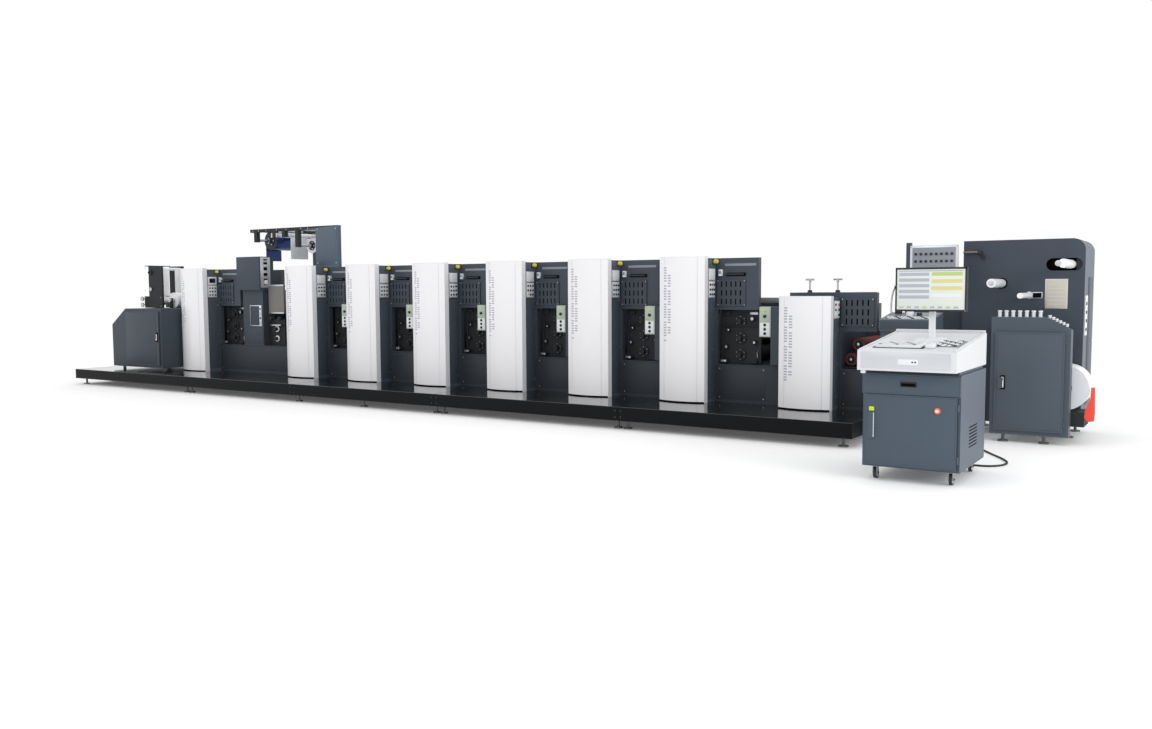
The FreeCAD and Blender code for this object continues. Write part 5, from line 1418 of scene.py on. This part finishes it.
    def screen(self) -> None:
        """Add the monitor's bezel and a page of plain bars."""
        face = -973.0
        page = Maker("monitor_page", BLACK_PLASTIC, SCREEN_WHITE, SCREEN_GREY, SCREEN_YELLOW,
                     SCREEN_GREEN, PALE_PLASTIC)
        x0, x1, z0, z1 = 12652.0, 13162.0, 1235.0, 1560.0
        page.block((x0 + 12, face - 1, z0 + 14), (x1 - 12, face + 3, z1 - 14), 0.6, 1)
        for low, high in (((x0, z0), (x1, z0 + 14)), ((x0, z1 - 14), (x1, z1)),
                          ((x0, z0), (x0 + 12, z1)), ((x1 - 12, z0), (x1, z1))):
            page.block((low[0], face - 4, low[1]), (high[0], face + 4, high[1]), 1.5)
        middle, front = (x0 + x1) / 2, face - 1.6
        for k in range(5):
            z = z1 - 62 - 42 * k
            page.block((x0 + 26, front, z), (middle - 10, face, z + 24), 0, 2)
        for k, kind in enumerate((4, 3, 3, 5)):
            z = z1 - 62 - 52 * k
            page.block((middle + 8, front, z), (x1 - 30, face, z + 26), 0, kind)
        page.block((x0 + 26, front, z1 - 30), (x1 - 30, face, z1 - 22), 0, 2)
        for k in range(8):
            x = x0 + 30 + 56 * k
            page.block((x, front, z0 + 24), (x + 32, face, z0 + 38), 0, 2 if k % 3 else 4)
        page.turned((x1 - 8, face - 3, z0 + 7), Axis.Y, [(0, 3), (-2, 3)], 12, 5)
        page.done("monitor")
        shell = Maker("monitor_shell", BLACK_PLASTIC, IRON)
        shell.block((x0 + 60, -929, z0 + 60), (x1 - 60, -915, z1 - 60), 5)
        for k in range(8):
            z = z1 - 110 + 6 * k
            shell.block((x0 + 120, -917, z), (x1 - 120, -914, z + 3), 0.5, 1)
        shell.done("monitor")

    def casters(self) -> None:
        """Dress the forks and wheels and add hubs and top plates."""
        for spot in FOUR_WHEELS:
            dress(f"caster_fork_{spot}", ZINC)
            dress(f"caster_wheel_{spot}", TYRE)
            x = 12595.0 if "left" in spot else 13135.0
            y = -1193.0 if "front" in spot else -563.0
            hub = Maker(f"wheel_hub_{spot}", SATIN, IRON)
            for out in (-1, 1):
                hub.turned((x + 10.5 * out, y, 42), Axis.X,
                           [(0, 30), (1.2 * out, 30), (1.3 * out, 9)], 28)
            hub.done(f"caster_wheel_{spot}")
            cap = Maker(f"fork_cap_{spot}", ZINC, IRON)
            cap.turned((x, y - 22, 97), Axis.Z, [(-6, 20), (-4, 24), (2, 24), (4, 18)], 24)
            for out in (-1, 1):
                cap.turned((x + 17 * out, y, 42), Axis.X,
                           [(-1.5 * out, 8), (4 * out, 8), (6 * out, 5)], 6, 1)
            cap.done(f"caster_fork_{spot}")


@dataclass
class InkDesk:
    """The ink desk at the right end, with its lamp and the key panel above."""

    left: float = 12030.0
    right: float = 12510.0
    top: float = 1115.0
    back_rise: float = 60.0

    def build(self) -> None:
        """Dress the desk and add keys, lamp, reader and the panel's rows."""
        dress_each(ink_desk=CONSOLE_GREY, key_panel=CHARCOAL)
        desk = Maker("desk_fittings", SATIN, BLACK_PLASTIC, PALE_PLASTIC, PANEL_GREY, STEEL,
                     SHADOW, CHARCOAL)
        for r in range(3):
            for c in range(14):
                x, y = self.left + 40 + 30 * c, 800 + 40 * r
                z = self.surface(y + 12)
                desk.block((x, y, z - 3), (x + 20, y + 24, z + 8), 2, 2 if (r + c) % 4 else 1)
        desk.sheet([(770, self.surface(770) - 2), (1130, self.surface(1130) - 2),
                    (1130, self.surface(1130) + 3), (770, self.surface(770) + 3)],
                   Axis.X, self.left + 24, self.right - 24, 1, 3)
        desk.block((self.left + 8, 744, 1024), (self.right - 8, 751, 1100), 2, 6)
        desk.tube([(12056, 1060, 1140), (12052, 1056, 1230), (12064, 1040, 1330),
                   (12092, 1010, 1400), (12122, 980, 1424)], 8, 0, 14)
        desk.turned((12056, 1060, 1150), Axis.Z, [(-12, 26), (4, 26), (8, 18)], 24, 1)
        desk.turned((12124, 978, 1406), Axis.Z, [(0, 26), (14, 24), (26, 14)], 24, 1)
        desk.block((12090, 1040, 1150), (12150, 1090, 1330), 8, 1)
        desk.block((12098, 1034, 1220), (12142, 1042, 1312), 3, 5)
        desk.turned((12250, 980, 1150), Axis.Z, [(-10, 36), (30, 36), (36, 30)], 32, 2)
        desk.turned((12340, 960, 1150), Axis.Z, [(-10, 24), (22, 24), (26, 20)], 32, 1)
        desk.done()
        panel = Maker("key_panel_face", SATIN, PANEL_GREY, BLACK_PLASTIC, PALE_PLASTIC, STEEL)
        panel.block((12196, 1140, 1446), (12637, 1152, 1806), 4)
        panel.block((12218, 1136, 1466), (12612, 1142, 1784), 2, 1)
        for r in range(4):
            for c in range(8):
                x, z = 12250 + 47 * c, 1520 + 68 * r
                panel.turned((x, 1137, z), Axis.Y, [(0, 13), (-5, 13), (-6, 10), (-12, 9),
                                                    (-13, 7)], 18, 2)
        for x in (12206, 12626):
            for z in (1458, 1794):
                panel.screw((x, 1140, z), Axis.Y, -4, 6, 4)
        panel.done()

    def surface(self, y: float) -> float:
        """Height of the sloped desk top at a given Y."""
        return self.top + self.back_rise * (y - 750) / 400


@dataclass
class ConsoleCable:
    """The cable that runs over the floor from the ink desk to the console."""

    diameter: float = 0.016
    length: float = 2.268
    route: tuple[Point, ...] = (
        (12480, 975, 60), (12610, 975, 60), (12745, 910, 12), (12870, 785, 8.2),
        (12960, 620, 8.2), (13052, 440, 8.2), (13150, 275, 8.2), (13250, 112, 8.2),
        (13318, -52, 8.2), (13300, -215, 8.2), (13195, -315, 8.2), (13052, -300, 8.2),
        (12932, -262, 13), (12845, -290, 92), (12820, -356, 160), (12820, -450, 160))

    def build(self) -> None:
        """Lay the cable and put a tapered relief at each end."""
        curve = bpy.data.curves.new("console_lead", "CURVE")
        curve.dimensions = "3D"
        curve.bevel_depth = self.diameter / 2
        curve.bevel_resolution = 5
        spline = curve.splines.new("NURBS")
        spline.points.add(len(self.route) - 1)
        for knot, point in zip(spline.points, self.route):
            knot.co = (*row(point), 1)
        spline.order_u = 3
        spline.use_endpoint_u = True
        spline.resolution_u = 12
        curve.materials.append(CORD_BLACK.material())
        lead = bpy.data.objects.new("console_lead", curve)
        bpy.context.scene.collection.objects.link(lead)
        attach(lead, "press")
        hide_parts("console_cable")
        reliefs = Maker("cable_reliefs", CORD_BLACK, BLACK_PLASTIC)
        reliefs.turned((12476, 975, 60), Axis.X, [(0, 13), (4, 13), (6, 11.5), (44, 9), (45, 8.4)],
                       24)
        reliefs.turned((12820, -446, 160), Axis.Y, [(0, 13), (-4, 13), (-6, 11.5), (-44, 9),
                                                    (-45, 8.4)], 24)
        relief_piece = reliefs.done()
        row(self.route[0])
        LOG.info("laid the console cable")


@dataclass
class Studio:
    """Plain floor, soft lights and the camera."""

    eye: Point = (7.874, -9.048, 1.418)
    heading: float = 33.19
    dip: float = 4.34
    roll: float = -0.29
    lens: float = 31.3
    sky: float = 1.0
    lights: list[tuple[str, Point, Point, float, float]] = field(default_factory=lambda: [
        ("key", (2.0, -11.0, 6.5), (1.0, 0.0, 0.8), 6.0, 110.0),
        ("side", (13.0, -3.0, 4.0), (4.0, 0.0, 0.9), 5.0, 230.0),
        ("far_fill", (-9.0, -8.0, 5.0), (-5.0, 0.0, 0.9), 5.0, 60.0)])

    def build(self) -> None:
        """Set the camera, the floor, the lights and the sky."""
        scene = bpy.context.scene
        lens = bpy.data.cameras.new("camera")
        lens.lens, lens.sensor_width = self.lens, 36.0
        lens.clip_end = 200.0
        camera = bpy.data.objects.new("camera", lens)
        scene.collection.objects.link(camera)
        turn = (Matrix.Rotation(math.radians(self.heading), 4, "Z")
                @ Matrix.Rotation(math.radians(90 - self.dip), 4, "X")
                @ Matrix.Rotation(math.radians(self.roll), 4, "Z"))
        camera.matrix_world = Matrix.Translation(self.eye) @ turn
        scene.camera = camera
        floor = bpy.data.meshes.new("floor")
        reach = 60.0
        floor.from_pydata([(-reach, -reach, 0), (reach, -reach, 0), (reach, reach, 0),
                           (-reach, reach, 0)], [], [(0, 1, 2, 3)])
        floor.materials.append(PALE_FLOOR.material())
        ground = bpy.data.objects.new("floor", floor)
        scene.collection.objects.link(ground)
        for name, place, aim, size, power in self.lights:
            lamp = bpy.data.lights.new(name, "AREA")
            lamp.shape, lamp.size, lamp.size_y = "RECTANGLE", size, size * 0.6
            lamp.energy = power
            stand = bpy.data.objects.new(name, lamp)
            scene.collection.objects.link(stand)
            stand.location = place
            stand.rotation_mode = "QUATERNION"
            stand.rotation_quaternion = (Vector(aim) - Vector(place)).to_track_quat("-Z", "Y")
        world = bpy.data.worlds.new("sky")
        world.use_nodes = True
        world.node_tree.nodes["Background"].inputs["Color"].default_value = (1, 1, 1, 1)
        world.node_tree.nodes["Background"].inputs["Strength"].default_value = self.sky
        scene.world = world
        scene.view_settings.view_transform = "Standard"
        LOG.info("set the camera, the floor and %d lights", len(self.lights))


def main() -> None:
    """Build the studio and every sub-assembly."""
    logging.basicConfig(level=logging.INFO, format="%(name)s: %(message)s")
    parts = (Studio(), ConsoleCable(), BasePlatform(), Bed(), Columns(), Covers(), OpenUnit(),
             Infeed(), Station(), FoilTower(), Rewinder(), Unwinder(), Console(), InkDesk())
    for part in parts:
        part.build()
        LOG.info("finished %s", type(part).__name__)


if __name__ == "__main__":
    main()
